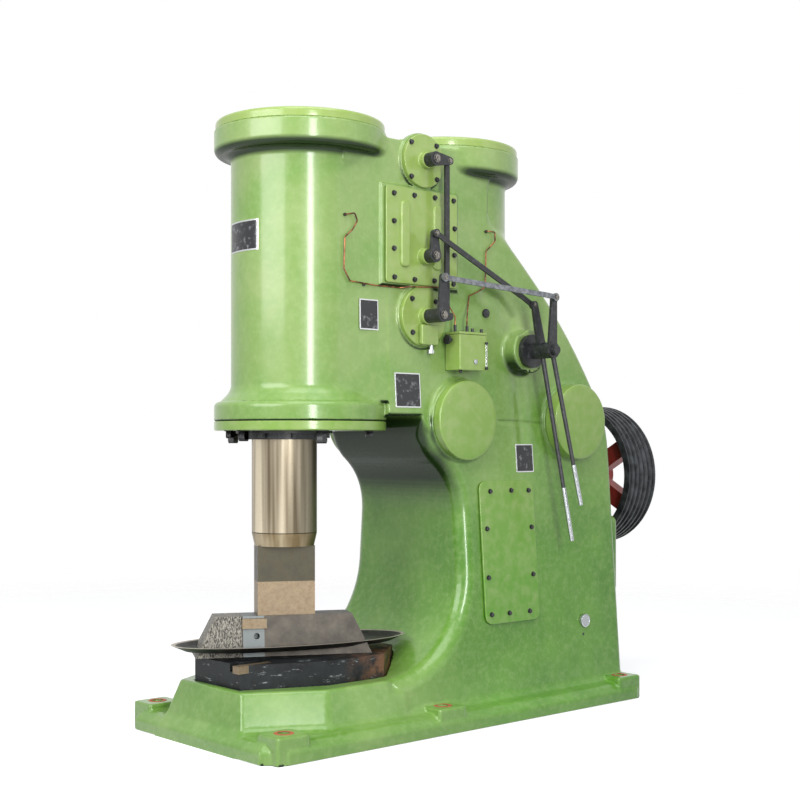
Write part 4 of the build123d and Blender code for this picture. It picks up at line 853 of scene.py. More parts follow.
def die_steel(name, light, dark, rust, amount):
    """Ground die block: fine scratches one way, thin rust in clouds."""
    m, t, s, at = new_material(name, light, 0.42, 0.75)
    cloud = node(t, NOISE, [at, lumps(55), 6, 0.7])
    speckle = node(t, NOISE, [at, lumps(18), 6, 0.8])
    scratch = node(t, NOISE, [node(t, STRETCH, {"Vector": at, "Scale": (1, 1, 0.2)}), lumps(3.2), 3, EVEN])
    ground = node(t, RANGE, [cloud, 0.35, 0.68])
    rusty = node(t, RANGE, [speckle, 0.5, 0.66, 0, amount])
    feed(s, {
        "Base Color": layered(t, dark, (ground, light), (rusty, rust)),
        "Roughness": node(t, RANGE, [cloud, 0.3, 0.75, 0.36, 0.58]),
    })
    relief(s, [(scratch, 0.06)])
    return m


def sow_steel():
    """Forged sow block: smooth brown-grey, with a chiselled and a bluish ground stretch at the front left,
    both told by the place along the block."""
    m, t, s, at = new_material("forged_sow_block_steel", "#77706A", 0.5, 0.6)
    turn = np.radians(DIE_TURN)
    along = node(t, VECTOR_MATH, [at, (np.cos(turn), np.sin(turn), 0)], operation="DOT_PRODUCT")
    cloud = node(t, RANGE, [node(t, NOISE, [at, lumps(90), 6, 0.65]), 0.35, 0.7])
    rust = node(t, RANGE, [node(t, NOISE, [at, lumps(15), 5, 0.8]), 0.56, 0.7, 0, 0.45])
    chisel = node(t, NOISE, [node(t, STRETCH, {"Vector": at, "Scale": (1.5, 1.5, 0.55)}), lumps(9), 4, 0.65])
    flake = layered(t, "#3D3B37", (node(t, RANGE, [chisel, 0.42, 0.58]), "#918D83"))
    chiselled = node(t, RANGE, [along, (CHISEL_END - 6) / 1000, CHISEL_END / 1000, 1, 0])
    after = node(t, RANGE, [along, CHISEL_END / 1000, (CHISEL_END + 3) / 1000])
    before = node(t, RANGE, [along, GROUND_END / 1000, (GROUND_END + 3) / 1000, 1, 0])
    ground = node(t, MATH, [node(t, MATH, [after, before], operation="MULTIPLY"), 0.7], operation="MULTIPLY")
    feed(s, {"Base Color": layered(
        t, "#37332E", (cloud, "#524D45"), (rust, "#4C3A2B"), (chiselled, flake), (ground, "#6F7677"))})
    cuts = node(t, MATH, [chisel, chiselled], operation="MULTIPLY")
    relief(s, [(cuts, 5.0), (node(t, NOISE, [at, lumps(7), 4, EVEN]), 0.25)])
    return m


def anvil_iron():
    """Scaled anvil block: blue-black oxide, pale dragged scratches and rust at one end."""
    m, t, s, at = new_material("scaled_anvil_steel", "#343A3F", 0.5, 0.55)
    cloud = node(t, NOISE, [at, lumps(110), 6, 0.7])
    drag = node(t, NOISE, [node(t, STRETCH, {"Vector": at, "Scale": (0.35, 0.35, 1.6)}), lumps(40), 6, 0.8])
    rust_cloud = node(t, RANGE, [node(t, NOISE, [at, lumps(60), 6, EVEN]), 0.4, 0.62])
    rear = node(t, RANGE, [node(t, SPLIT, [at]).outputs["X"], 0.1, 0.5])
    rust = node(t, MATH, [rear, rust_cloud], operation="MULTIPLY")
    scale = node(t, RANGE, [cloud, 0.36, 0.66])
    scratch = node(t, RANGE, [drag, 0.6, 0.68, 0, 0.75])
    feed(s, {
        "Base Color": layered(t, "#0E1012", (scale, "#25292B"), (scratch, "#A3A8AA"), (rust, "#7A553B")),
        "Roughness": node(t, RANGE, [cloud, 0.3, 0.75, 0.42, 0.68]),
    })
    relief(s, [(node(t, NOISE, [at, lumps(24), 6, 0.7]), 1.2)])
    return m


def sheet_steel():
    """Thin rolled sheet of the scale tray, dusty with scale, with a painted highlight along its rim."""
    m, t, s, at = new_material("scaled_sheet_steel", "#6B6863", 0.5, 0.7)
    cloud = node(t, RANGE, [node(t, NOISE, [at, lumps(70), 6, 0.7]), 0.35, 0.7])
    height = node(t, SPLIT, [at]).outputs["Z"]
    # Painted highlight: a pale tone on the rim above its height.
    rim = node(t, RANGE, [height, (TRAY_RIM_HIGHLIGHT_Z - 2) / 1000, TRAY_RIM_HIGHLIGHT_Z / 1000, 0, 0.9])
    feed(s, {"Base Color": layered(t, "#1E1F1C", (cloud, "#454640"), (rim, "#B9B2A6"))})
    relief(s, [(node(t, NOISE, [at, lumps(18), 4, EVEN]), 0.4)])
    return m


def copper():
    """Thin oxidised copper oil pipe: brown, with redder stretches."""
    m, t, s, at = new_material("oxidised_copper_pipe", "#7A4A34", 0.4, 0.9)
    fresh = node(t, RANGE, [node(t, NOISE, [at, lumps(40), 4, EVEN]), 0.4, 0.65])
    feed(s, {"Base Color": layered(t, "#4E3226", (fresh, "#A8704E"))})
    return m


def dark_iron():
    """Machined grooved rim in dark cast iron, and red paint on the spokes inside it."""
    m, t, s, at = new_material("machined_dark_cast_iron", "#2B2D30", 0.42, 0.4)
    cloud = node(t, RANGE, [node(t, NOISE, [at, lumps(60), 5, EVEN]), 0.4, 0.68])
    across = node(t, VECTOR_MATH, [at, (0.0, 1.0, 1.0)], operation="MULTIPLY")
    away = node(t, VECTOR_MATH, [across, (0.0, 0.0, SHAFT_Z / 1000)], operation="DISTANCE")
    spokes = node(t, RANGE, [away, (PULLEY_INNER_R - 2) / 1000, (PULLEY_INNER_R + 2) / 1000, 1, 0])
    feed(s, {"Base Color": layered(t, "#1F2124", (cloud, "#45484B"), (spokes, "#8E2F28"))})
    soft_edged(s, at, 1.5, 6, 0.08)
    return m


def red_primer():
    """Red oxide primer on cast iron, dull and dusty."""
    m, t, s, at = new_material("red_oxide_primer", "#A8452F", 0.7)
    dust = node(t, RANGE, [node(t, NOISE, [at, lumps(20), 5, EVEN]), 0.35, 0.68])
    feed(s, {"Base Color": layered(t, "#8E3A28", (dust, "#BF6A50"))})
    relief(s, [(node(t, NOISE, [at, lumps(5), 3, EVEN]), 0.15)])
    return m


def plate_metal():
    """Rim of a bare nameplate: brushed aluminium."""
    m, t, s, at = new_material("brushed_aluminium_plate", "#C9CBCC", 0.32, 1.0)
    brushed = node(t, STRETCH, {"Vector": at, "Scale": (1, 1, 0.08)})
    lines = node(t, NOISE, [brushed, lumps(2.5), 2, EVEN])
    feed(s, {"Roughness": node(t, RANGE, [lines, 0.3, 0.7, 0.24, 0.42])})
    return m


def plate_black():
    """Etched black field of a bare nameplate, worn to metal in a few clouds."""
    m, t, s, at = new_material("etched_black_plate_field", "#1C1D20", 0.3)
    worn = node(t, RANGE, [node(t, NOISE, [at, lumps(26), 4, EVEN]), 0.56, 0.75, 0, 0.7])
    feed(s, {"Base Color": layered(t, "#17181B", (worn, "#8E9094"))})
    return m


def clear_glass():
    """Glass of the oil gauge."""
    return new_material("gauge_glass", "#F2F4F2", 0.05, Transmission_Weight=0.85, IOR=1.5)[0]


def make_materials():
    """All materials by short name."""
    return {
        "green": green_enamel(), "cover": cover_enamel(), "black": black_paint(), "grey": grey_steel(),
        "chrome": chrome(), "zinc": zinc(), "worn": worn_steel(), "ram": turned_steel(),
        "upper_die": die_steel("ground_upper_die_steel", "#4A4638", "#35332A", "#3F3325", 0.4),
        "lower_die": die_steel("ground_lower_die_steel", "#857660", "#6C5F4D", "#5E4630", 0.6),
        "sow": sow_steel(), "anvil": anvil_iron(), "sheet": sheet_steel(), "copper": copper(),
        "iron": dark_iron(), "red": red_primer(), "plate": plate_metal(), "field": plate_black(),
        "glass": clear_glass(),
    }


# Settings shown in the sidebar


class HammerSizes(bpy.types.PropertyGroup):
    """Sizes of the shown pieces that aren't fixed by the CAD frame."""

    casting_step: bpy.props.FloatProperty(
        name="Casting grid", description="Grid step of the casting's surface", default=0.0135, min=0.008,
        max=0.04, unit="LENGTH")
    bolt_radius: bpy.props.FloatProperty(
        name="Bolt radius", description="Across-corner radius of the cover bolts", default=0.0125,
        unit="LENGTH")
    bolt_height: bpy.props.FloatProperty(
        name="Bolt height", description="Height of the bolt heads", default=0.012, unit="LENGTH")
    nut_radius: bpy.props.FloatProperty(
        name="Cover nut radius", description="Radius of the nuts under the lower cover", default=0.025,
        unit="LENGTH")
    plate_thick: bpy.props.FloatProperty(
        name="Plate thickness", description="Thickness of the bare nameplates", default=0.0025, unit="LENGTH")
    floor_half: bpy.props.FloatProperty(
        name="Floor half size", description="Half the side of the studio floor", default=60.0, unit="LENGTH")


class HammerColours(bpy.types.PropertyGroup):
    """Colours of the stage."""

    floor: bpy.props.FloatVectorProperty(
        name="Floor", description="Colour of the studio floor", default=colour("#F4F4F4"), size=4,
        subtype="COLOR")
    backdrop: bpy.props.FloatVectorProperty(
        name="Backdrop", description="Colour behind the machine", default=colour("#FFFFFF"), size=4,
        subtype="COLOR")
    sky: bpy.props.FloatVectorProperty(
        name="Room light", description="Soft light that comes from all round", default=colour("#E6ECF2"),
        size=4, subtype="COLOR")


# Pieces

# The casting's three parts by height, and measures of the shown covers that the CAD sizes don't give
CASTING_PARTS = (("casting_foot", -99, 760), ("casting_column", 760, 1960), ("casting_head", 1960, 9999))
LID_INSET, LID_GAP, LID_EDGE = 7, 0.6, 22
GLAND_R = 190.5
DISC_THICK, VALVE_BOSS_R, VALVE_BOSS_TOP, SPINDLE_R = 24, 46, 58.5, 27.5
CHEST_THICK, CHEST_RIB_X, CHEST_RIB_Z = 16, (516, 766), 2784
DRAIN_BLOCK = (612, 742, 2166, 2282)

# Places of the bolts on the valve side, (x, z), as they stand in the photograph
DISC_BOLTS = (
    (558, 3306), (751, 3308), (558, 3112), (755, 3116), (564, 2425), (568, 2235), (745, 2419),
)
CHEST_BOLTS = (
    (435, 3005), (435, 2850), (435, 2697), (438, 2537), (588, 3009), (746, 3013), (894, 3012), (902, 2851),
    (900, 2698), (892, 2530), (590, 2534), (742, 2538),
)
PANEL_BOLTS = (
    (1146, 1326), (1324, 1328), (1474, 1325), (1104, 1108), (1484, 1104), (1096, 824), (1476, 822),
    (1106, 609), (1255, 607), (1429, 605),
)

# Nuts under the lower cover: angle round it, size against the plain nut, and how far they hang down
COVER_NUT_RING = 446
COVER_NUTS = (
    (70, 0.9, 30), (113, 1.3, 66), (-171, 1.2, 54), (-187, 1, 38), (173, 1, 38), (189, 1.2, 54),
    (247, 1.3, 66), (290, 0.9, 30),
)

# Nuts on the pins of arms and levers, by the body they move with: x, y of the face under them, z, radius
PIN_NUTS = {
    "upper_valve": ((VALVE_X, -546.2, UPPER_VALVE_Z, 19), (ARM_END_X, -540.2, UPPER_VALVE_Z, 13)),
    "middle_valve": ((VALVE_X, -542.2, MIDDLE_VALVE_Z, 19), (MIDDLE_PIN[0], -552.8, MIDDLE_PIN[1], 12)),
    "lower_valve": ((VALVE_X, -606.2, LOWER_VALVE_Z, 19), (LOWER_PIN[0], -616.8, LOWER_PIN[1], 12)),
    "inner_lever": ((INNER_TOP[0], -610.2, INNER_TOP[1], 11),),
    "outer_lever": ((OUTER_TOP[0], -708.8, OUTER_TOP[1], 12),),
}

# Lubricator: its two ends, its front face, and the heights of its bottom, brim, lid and top
LUBRICATOR_X, LUBRICATOR_FACE, LUBRICATOR_Z = (842.0, 1061.0), -541.0, (2030, 2234, 2236, 2250)

# Nameplates: three flat ones by their edges x0, x1, z0, z1, and one bent round the front cylinder
FLAT_PLATES = ((210, 345, 2236, 2405), (451, 643, 1811, 2007), (1397, 1548, 1434, 1604))
BENT_PLATE_TURN, BENT_RIM_Z, BENT_FIELD_Z = (-205, -163.3), (2660, 2828), (2668, 2820)


def build_casting(sizes, mats):
    """Frame casting from the distance field, in three parts that share their border points and normals."""
    coarser = 1
    points, normals, faces = surface_net(sizes.casting_step * 1000 * coarser)
    height = points[faces].mean(1)[:, 2]
    for name, low, high in CASTING_PARTS:
        part = faces[(height >= low) & (height < high)]
        used, renumbered = np.unique(part, return_inverse=True)
        obj = add_mesh(name, points[used], [renumbered.reshape(part.shape)], normals[used])
        # Painted shade for the throat's wall under the bridge, kept as a point attribute that the enamel
        # reads.
        painted_shade = obj.data.attributes.new("painted_shade_mask", "FLOAT", "POINT")
        painted_shade.data.foreach_set("value", painted_shade_on_wall(points[used], normals[used]).astype(np.float32))
        dress(obj, "frame", "green_enamel", mats["green"], "frame_casting")


def painted_shade_on_wall(points, normals):
    """How much painted shade a spot gets, 0 to 1: the throat's wall, growing upward to the bridge."""
    x, _, z = points.T
    wall = mix(0.3, 0.8, -normals[:, 0])
    wall = wall * mix(1150, 1520, z) * (1 - mix(1740, 1790, z)) * (1 - mix(950, 990, x))
    return np.where(x > 500, wall, 0)


def build_cylinder_lids(mats):
    """Lids of both cylinders: profile of radius and height, its edges rounded, turned round the axis."""
    for name, node_name, cx, flange in (
            ("working_cylinder_lid", "working_cylinder_cover", CASTING_X, FRONT_FLANGE_R),
            ("compressor_lid", "compressor_cover", REAR_CYL_X, REAR_FLANGE_R)):
        r, seat = flange - LID_INSET, COVER_SEAT + LID_GAP
        corners = [(flange - 30, seat), (r, seat), (r, MACHINE_TOP), (flange - 70, MACHINE_TOP)]
        profile = rounded(corners, [0, 3, LID_EDGE, 0], 6)
        obj = rings_mesh(name, [lathe(profile, (cx, 0, 0), "z", 128)])
        dress(obj, "frame", "green_enamel", mats["cover"], node_name)


def build_lower_cover(mats):
    """Ring under the front cylinder: its outside about the cylinder's axis, its bore about the ram's."""
    low, high, inner = LOWER_COVER_BOTTOM, FRONT_BOTTOM - 1, 205
    corners = [(inner, low), (FRONT_FLANGE_R, low), (FRONT_FLANGE_R, high), (inner, high)]
    profile = rounded(corners, [0, 10, 3, 0], 5)
    ring = lathe(profile, (CASTING_X, 0, 0), "z", 128)
    bore = profile[:, 0] < inner + 1
    angle = np.linspace(0, 2 * np.pi, 128, endpoint=False)
    ring[bore, :, 0] = GLAND_R * np.cos(angle)
    ring[bore, :, 1] = GLAND_R * np.sin(angle)
    obj = rings_mesh("lower_cylinder_ring", [(ring, True)])
    dress(obj, "frame", "green_enamel", mats["cover"], "lower_cylinder_cover")


def build_round_covers(mats):
    """Four round side covers, turned from a profile that rises a little towards the middle."""
    r = ROUND_COVER_R
    for side, axis, tag in ((-1, "-y", "valve_side"), (1, "y", "far_side")):
        for cx, thick, where in ((FRONT_COVER_X, 62, "front"), (REAR_COVER_X, 96, "rear")):
            profile = rounded([
                (r - 6, 0.5), (r, 5), (r, thick - 7), (r - 26, thick - 4), (r * 0.55, thick - 1),
                (r * 0.2, thick - 0.3)], [0, 3, 13, 10, 0, 0], 6)
            lid = lathe(profile, (cx, side * ROUND_SEAT, ROUND_COVER_Z), axis, 112)
            obj = rings_mesh(f"{tag}_{where}_round_lid", [lid])
            dress(obj, "frame", "green_enamel", mats["cover"], f"{tag}_{where}_round_cover")


def spindle_boss(foot):
    """Upper end of a valve boss in section, and the bore of its spindle down to a foot."""
    return [(SPINDLE_R, VALVE_BOSS_TOP), (SPINDLE_R, foot)]


def build_valve_covers(mats):
    """Bolted flanges of the valves, the valve chest cover with its ribs, and the far side's caps."""
    top = VALVE_BOSS_TOP
    for cz, r, name in ((UPPER_VALVE_Z, UPPER_DISC_R, "upper"), (LOWER_VALVE_Z, LOWER_DISC_R, "lower")):
        disc = rounded([
            (r - 3, 0.3), (r, 1.5), (r, DISC_THICK), (VALVE_BOSS_R, DISC_THICK), (VALVE_BOSS_R, top),
            (SPINDLE_R, top)], [0, 1, 7, 9, 4, 0], 6)
        disc = np.concatenate([disc, spindle_boss(2)])
        stack = [lathe(disc, (VALVE_X, -VALVE_SEAT, cz), "-y", 96)]
        if name == "lower":
            stack.append(on_valve_side(plate(rectangle(*DRAIN_BLOCK, 14), 0, 57, 8)))
        obj = rings_mesh(f"{name}_valve_flange", stack)
        dress(obj, "frame", "green_enamel", mats["cover"], f"{name}_valve_cover")
    for cz, r, name in (
            (UPPER_VALVE_Z, UPPER_DISC_R, "upper"), (MIDDLE_VALVE_Z, MIDDLE_CAP_R, "middle"),
            (LOWER_VALVE_Z, LOWER_DISC_R, "lower")):
        profile = rounded([(r - 3, 0.3), (r, 1.5), (r, DISC_THICK), (r * 0.5, DISC_THICK)], [0, 1, 7, 0], 6)
        obj = rings_mesh(f"far_side_{name}_valve_lid", [lathe(profile, (VALVE_X, VALVE_SEAT, cz), "y", 96)])
        dress(obj, "frame", "green_enamel", mats["cover"], f"far_side_{name}_valve_cap")
    stacks = [plate(rectangle(*CHEST_X, *CHEST_COVER_Z, 20), 0.3, CHEST_THICK, 5)]
    half_wide, half_tall = 35, 186
    for cx in CHEST_RIB_X:
        rib = rectangle(
            cx - half_wide, cx + half_wide, CHEST_RIB_Z - half_tall, CHEST_RIB_Z + half_tall, 34.5, 10)
        stacks.append(plate(rib, 10, 30, 12, steps=6))
    stacks = [on_valve_side(stack) for stack in stacks]
    boss = rounded([(60, 14), (VALVE_BOSS_R, 17), (VALVE_BOSS_R, top), (SPINDLE_R, top)], [0, 6, 4, 0], 6)
    boss = np.concatenate([boss, spindle_boss(12)])
    stacks.append(lathe(boss, (VALVE_X, -VALVE_SEAT, MIDDLE_VALVE_Z), "-y", 64))
    obj = rings_mesh("valve_chest_lid", stacks)
    dress(obj, "frame", "green_enamel", mats["cover"], "valve_chest_cover")


def build_inspection_covers(mats):
    """Rectangular covers on the leaning sides: rounded outline, rounded edge, laid on the flank."""
    mid_z = sum(INSPECT_Z) / 2
    tall = (INSPECT_Z[1] - INSPECT_Z[0]) / np.cos(LEAN) / 2
    for side, tag in ((-1, "valve_side"), (1, "far_side")):
        rings = plate(rectangle(*INSPECT_X, 40 - tall, tall - 6, 60, 9), 0.4, 16, 5)
        up = np.array([0, -side * np.sin(LEAN), np.cos(LEAN)])
        out = np.array([0, side * np.cos(LEAN), np.sin(LEAN)])
        origin = np.array([0, side * half_at(mid_z), mid_z])
        world = origin + rings[..., :1] * [1, 0, 0] + rings[..., 1:2] * up + rings[..., 2:] * out
        obj = rings_mesh(f"{tag}_inspection_lid", [world])
        dress(obj, "frame", "green_enamel", mats["cover"], f"{tag}_inspection_cover")


def build_cover_bolts(sizes, mats):
    """Black hexagon bolts of the covers on both sides."""
    r, high = sizes.bolt_radius * 1000, sizes.bolt_height * 1000
    near = [(x, -VALVE_SEAT - DISC_THICK, z, "-y") for x, z in DISC_BOLTS]
    near += [(x, -VALVE_SEAT - CHEST_THICK, z, "-y") for x, z in CHEST_BOLTS]
    far = []
    for cz, ring in ((UPPER_VALVE_Z, 118), (MIDDLE_VALVE_Z, 88), (LOWER_VALVE_Z, 136)):
        for a in np.radians([45, 135, 225, 315]):
            far.append((VALVE_X + ring * np.cos(a), VALVE_SEAT + DISC_THICK, cz + ring * np.sin(a), "y"))
    for x, z in PANEL_BOLTS:
        y = half_at(z) + 15.5
        near.append((x, -y, z, "-y"))
        far.append((x, y, z, "y"))
    for tag, places in (("valve_side", near), ("far_side", far)):
        obj = rings_mesh(f"{tag}_cover_bolts", hex_bolts(places, r, high, 1.6))
        dress(obj, "frame", "black_steel", mats["black"])


def build_nuts(sizes, mats):
    """Nuts under the lower cover, and the nuts on the pins of the arms and levers."""
    stacks = []
    for angle, wide, tall in COVER_NUTS:
        a = np.radians(angle)
        spot = (CASTING_X + COVER_NUT_RING * np.cos(a), COVER_NUT_RING * np.sin(a), LOWER_COVER_BOTTOM, "-z")
        stacks += hex_bolts([spot], sizes.nut_radius * 1000 * wide, tall, 4)
    dress(rings_mesh("lower_cover_nuts", stacks), "frame", "black_steel", mats["black"])
    for body, ends in PIN_NUTS.items():
        stacks = []
        for x, y, z, r in ends:
            stacks += hex_bolts([(x, y, z, "-y")], r, r * 0.45, 1.2)
        dress(rings_mesh(f"{body}_nuts", stacks), body, "plug_steel", mats["worn"])


def build_spot_faces(mats):
    """Thin machined rings round the anchor holes."""
    profile = [(33, 0), (52, 0), (52, 1.0), (50, 1.6), (34, 1.6), (33, 1.0)]
    rings = [
        (lathe(profile, (x, side * PAD_Y, PAD_TOP), "z", 40), True) for x in PAD_X for side in (-1, 1)]
    dress(rings_mesh("anchor_spot_faces", rings), "frame", "green_enamel", mats["red"])


def build_oil_gear(mats):
    """Lubricator box with its lid, its round plug and the sight's lens, and the small dark fastenings: gauge
    ends, drain, lid screws, the pipe's clip and a plug low on the column."""
    (x0, x1), face = LUBRICATOR_X, LUBRICATOR_FACE
    bottom, brim, lid_low, top = LUBRICATOR_Z
    back = -half_at(bottom) - 1
    body = plate(rectangle(x0, x1, face, back, 8), bottom, brim, 3, 4)
    lid = plate(rectangle(x0 + 0.5, x1, face, back, 8), lid_low, top, 4, 2)
    dress(rings_mesh("lubricator_box", [body, lid]), "frame", "green_enamel", mats["cover"], "lubricator")
    plug = rounded([(15, 0), (15, 6), (9, 6), (9, 9), (4, 9)], [0, 2, 1, 2, 0], 4)
    lens = rounded([(41, 0), (41, 7), (31, 9), (28, 5)], [0, 2, 2, 0], 4)
    stacks = [
        lathe(plug, (967, face + 1, 2080), "-y", 28),
        lathe(lens, (1926, -half_at(465) - 11, 506), "-y", 40),
    ]
    dress(rings_mesh("lubricator_plug", stacks), "frame", "plug_steel", mats["chrome"])
    gauge_end = rounded([(9.5, 0), (9.5, 16), (4, 16)], [0, 2, 0], 3)
    drain = rounded([(9, 0), (9, 12), (5, 20), (2, 20)], [0, 2, 2, 0], 3)
    screw = rounded([(5, 0), (5, 3), (2, 3)], [0, 1, 0], 3)
    clip = plate(rectangle(-9, 9, -7, 7, 3, 3), 0, 10, 2)
    clip_x, clip_z = 243, 2482
    low_plug_x, low_plug_z = 1919, 422
    ends = [lathe(gauge_end, (1050, face - 7, z), "z", 20) for z in (2036, 2180)]
    ends.append(lathe(drain, (867, -520, 2031), "-z", 16))
    ends.append(on_valve_side(clip, clip_x, wall_at(clip_x, clip_z), clip_z))
    low_plug = (low_plug_x, wall_at(low_plug_x, low_plug_z), low_plug_z)
    ends.append(lathe([(9, 0), (9, 0.8), (7, 1.0)], low_plug, "-y", 20))
    ends += [lathe(screw, (x, -525, top), "z", 12) for x in (862, 1041)]
    dress(rings_mesh("lubricator_fastenings", ends), "frame", "black_steel", mats["black"])


def flat_plate(x0, x1, z0, z1, thick):
    """Bare nameplate laid on the casting's side: stacks of its rim with four rivets, and of its field."""
    y = wall_y(np.array([x0, x1, x1, x0], float), np.array([z0, z0, z1, z1], float))
    low, high = y[:2].min(), y[2:].min()
    origin = np.array([x0, low - 0.6, z0])
    u = np.array([x1 - x0, 0, 0], float)
    v = np.array([0, high - low, z1 - z0], float)
    n = np.cross(u, v)
    n /= np.linalg.norm(n)
    wide, tall = np.linalg.norm(u), np.linalg.norm(v)

    def lay(rings):
        return origin + rings[..., :1] * u / wide + rings[..., 1:2] * v / tall + rings[..., 2:] * n

    rim = lay(plate(rectangle(0, wide, 0, tall, 5, 4), -6, thick, 0.8, steps=3))
    border = rectangle(7, wide - 7, 7, tall - 7, 3, 4)
    field = lay(plate(border, thick - 0.2, thick + 0.5, 0.2, steps=2))
    rivet = lathe([(2.6, 0), (2.4, 1.2), (1.2, 2.0)], (0, 0, 0), "z", 10)
    rivets = [lay(rivet + [a, b, thick]) for a in (4, wide - 4) for b in (4, tall - 4)]
    return [rim] + rivets, [field]


def bent_plate(r, margin, z0, z1):
    """Rings of a plate bent round the front cylinder, out to radius r, its edges drawn in a little. Each ring
    runs along the outside of the arc and back along its inside."""
    first, last = np.radians(BENT_PLATE_TURN)
    t = np.linspace(first + np.radians(margin), last - np.radians(margin), 20)
    inner_r, edge = WALL_R - 3, 0.8
    rings = []
    for radius, z in (
            (WALL_R - 2, z0), (r - 0.4, z0), (r, z0 + edge), (r, z1 - edge), (r - 0.4, z1), (WALL_R - 2, z1)):
        height = np.full(len(t), z)
        outer = np.stack([CASTING_X + radius * np.cos(t), radius * np.sin(t), height], -1)
        inner = np.stack([CASTING_X + inner_r * np.cos(t[::-1]), inner_r * np.sin(t[::-1]), height], -1)
        rings.append(np.concatenate([outer, inner]))
    return np.array(rings)


def build_nameplates(sizes, mats):
    """Four bare nameplates: aluminium rims with plain black fields."""
    rims, fields = [], []
    for edges in FLAT_PLATES:
        rim, field = flat_plate(*edges, sizes.plate_thick * 1000)
        rims += rim
        fields += field
    rims.append(bent_plate(WALL_R + 2.2, 0, *BENT_RIM_Z))
    fields.append(bent_plate(WALL_R + 3.0, 1.2, *BENT_FIELD_Z))
    dress(rings_mesh("nameplate_rims", rims), "frame", "plug_steel", mats["plate"])
    dress(rings_mesh("nameplate_fields", fields), "frame", "black_steel", mats["field"])


# Materials of the CAD pieces that are shown as they are; those not named here are green
CAD_LOOKS = {
    "black": (
        "rod_gland", "lever_bracket", "lubricator_crank", "lubricator_fittings", "front_pipe_fitting",
        "rear_pipe_fitting", "side_plug", "inner_lever", "inner_link", "middle_valve_arm", "outer_lever",
        "lower_valve_arm", "valve_rod", "upper_valve_arm"),
    "lower_die": ("lower_die", "die_key", "sow_key"),
    "zinc": ("drain_plug", "oil_sight", "crankshaft_end"),
    "chrome": ("inner_grip", "outer_grip"),
    "copper": ("front_oil_pipe", "rear_oil_pipe"),
    "upper_die": ("upper_die",),
    "sow": ("sow_block",),
    "sheet": ("scale_tray",),
    "anvil": ("anvil_block",),
    "glass": ("lubricator_gauge",),
    "ram": ("ram",),
    "iron": ("belt_pulley",),
    "grey": ("outer_link",),
}


def finish_cad(mats):
    """Materials and softened shading for the CAD pieces: doubled points merged, then split at sharp edges."""
    looks = {name: look for look, names in CAD_LOOKS.items() for name in names}
    for name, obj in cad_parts.items():
        obj.data.materials.clear()
        obj.data.materials.append(mats[looks.get(name, "green")])
        if obj.hide_render:
            continue
        obj.data.shade_smooth()
        weld = obj.modifiers.new("weld", "WELD")
        weld.merge_threshold = 0.00002
        split = obj.modifiers.new("split", "EDGE_SPLIT")
        split.split_angle = np.radians(32)


# Stage

# Camera fitted to the photograph: its width and focal length in pixels, where it stands, and where it looks
PHOTO_WIDE, PHOTO_FOCUS, SENSOR = 800, 1392, 36.0
CAMERA_PLACE, CAMERA_AHEAD, CAMERA_SHIFT = (-4.6964, -6.2430, 1.6287), (0.6652, 0.7466), 0.05

# Lamps: name, place, target, two sizes and power
LAMPS = (
    ("strip_light", (-2.95, -7.7, 3.1), (0.1, 0, 2.5), (1.25, 4.5), 490),
    ("top_light", (-1.0, -3.0, 8.5), (0.6, 0, 1.4), (6.0, 6.0), 380),
    ("left_light", (-8.0, -1.0, 5.2), (0.0, 0, 0.8), (6.5, 5.0), 640),
    ("right_light", (5.5, -7.5, 3.5), (1.6, 0, 1.2), (3.5, 5.0), 40),
)
SKY_STRENGTH, FLOOR_GLOW, FLOOR_FADE = 0.33, 0.5, (3.5, 9.0)


def area_light(name, where, target, size, power):
    """Soft rectangular studio light, turned to face its target."""
    data = bpy.data.lights.new(name, "AREA")
    data.shape = "RECTANGLE"
    data.size, data.size_y = size
    data.energy = power
    obj = bpy.data.objects.new(name, data)
    bpy.context.scene.collection.objects.link(obj)
    obj.location = where
    obj.rotation_euler = (Vector(target) - Vector(where)).to_track_quat("-Z", "Y").to_euler()


def seen_ray(tree):
    """1 for what the camera, a mirror or a glass shows, 0 for light that falls on the machine."""
    path = node(tree, "ShaderNodeLightPath").outputs
    bent = node(tree, MATH, [path["Is Glossy Ray"], path["Is Transmission Ray"]], operation="MAXIMUM")
    return node(tree, MATH, [path["Is Camera Ray"], bent], operation="MAXIMUM")


def build_floor(half, tint):
    """Pale floor that shows its own tint, throws a dull shop floor's light, and fades out with distance."""
    corners = np.array([(-half, -half, 0), (half, -half, 0), (half, half, 0), (-half, half, 0)], float)
    floor = add_mesh("studio_floor", corners, [np.array([[0, 1, 2, 3]])])
    paper, tree, shader, at = new_material("white_studio_floor", "#F4F4F4", 0.8)
    feed(shader, {"Base Color": tint, "Emission Color": tint, "Emission Strength": FLOOR_GLOW})
    away = node(tree, VECTOR_MATH, [at], operation="LENGTH")
    clear = node(tree, "ShaderNodeBsdfTransparent")
    shop = node(tree, "ShaderNodeBsdfDiffuse", [colour("#6E6E6A")])
    shown = node(tree, "ShaderNodeMixShader", [seen_ray(tree), shop, shader])
    faded = node(tree, "ShaderNodeMixShader", [node(tree, RANGE, [away, *FLOOR_FADE]), shown, clear])
    feed(tree.nodes["Material Output"], {"Surface": faded})
    floor.data.materials.append(paper)


def build_world(sky, backdrop):
    """Backdrop colour for what is seen, and a plain soft sky for the light on the machine."""
    world = bpy.data.worlds.new("studio")
    world.use_nodes = True
    tree = world.node_tree
    soft = tree.nodes["Background"]
    feed(soft, {"Color": sky, "Strength": SKY_STRENGTH})
    seen = node(tree, "ShaderNodeBackground", {"Color": backdrop, "Strength": 1.0})
    mixed = node(tree, "ShaderNodeMixShader", [seen_ray(tree), soft, seen])
    feed(tree.nodes["World Output"], {"Surface": mixed})
    bpy.context.scene.world = world


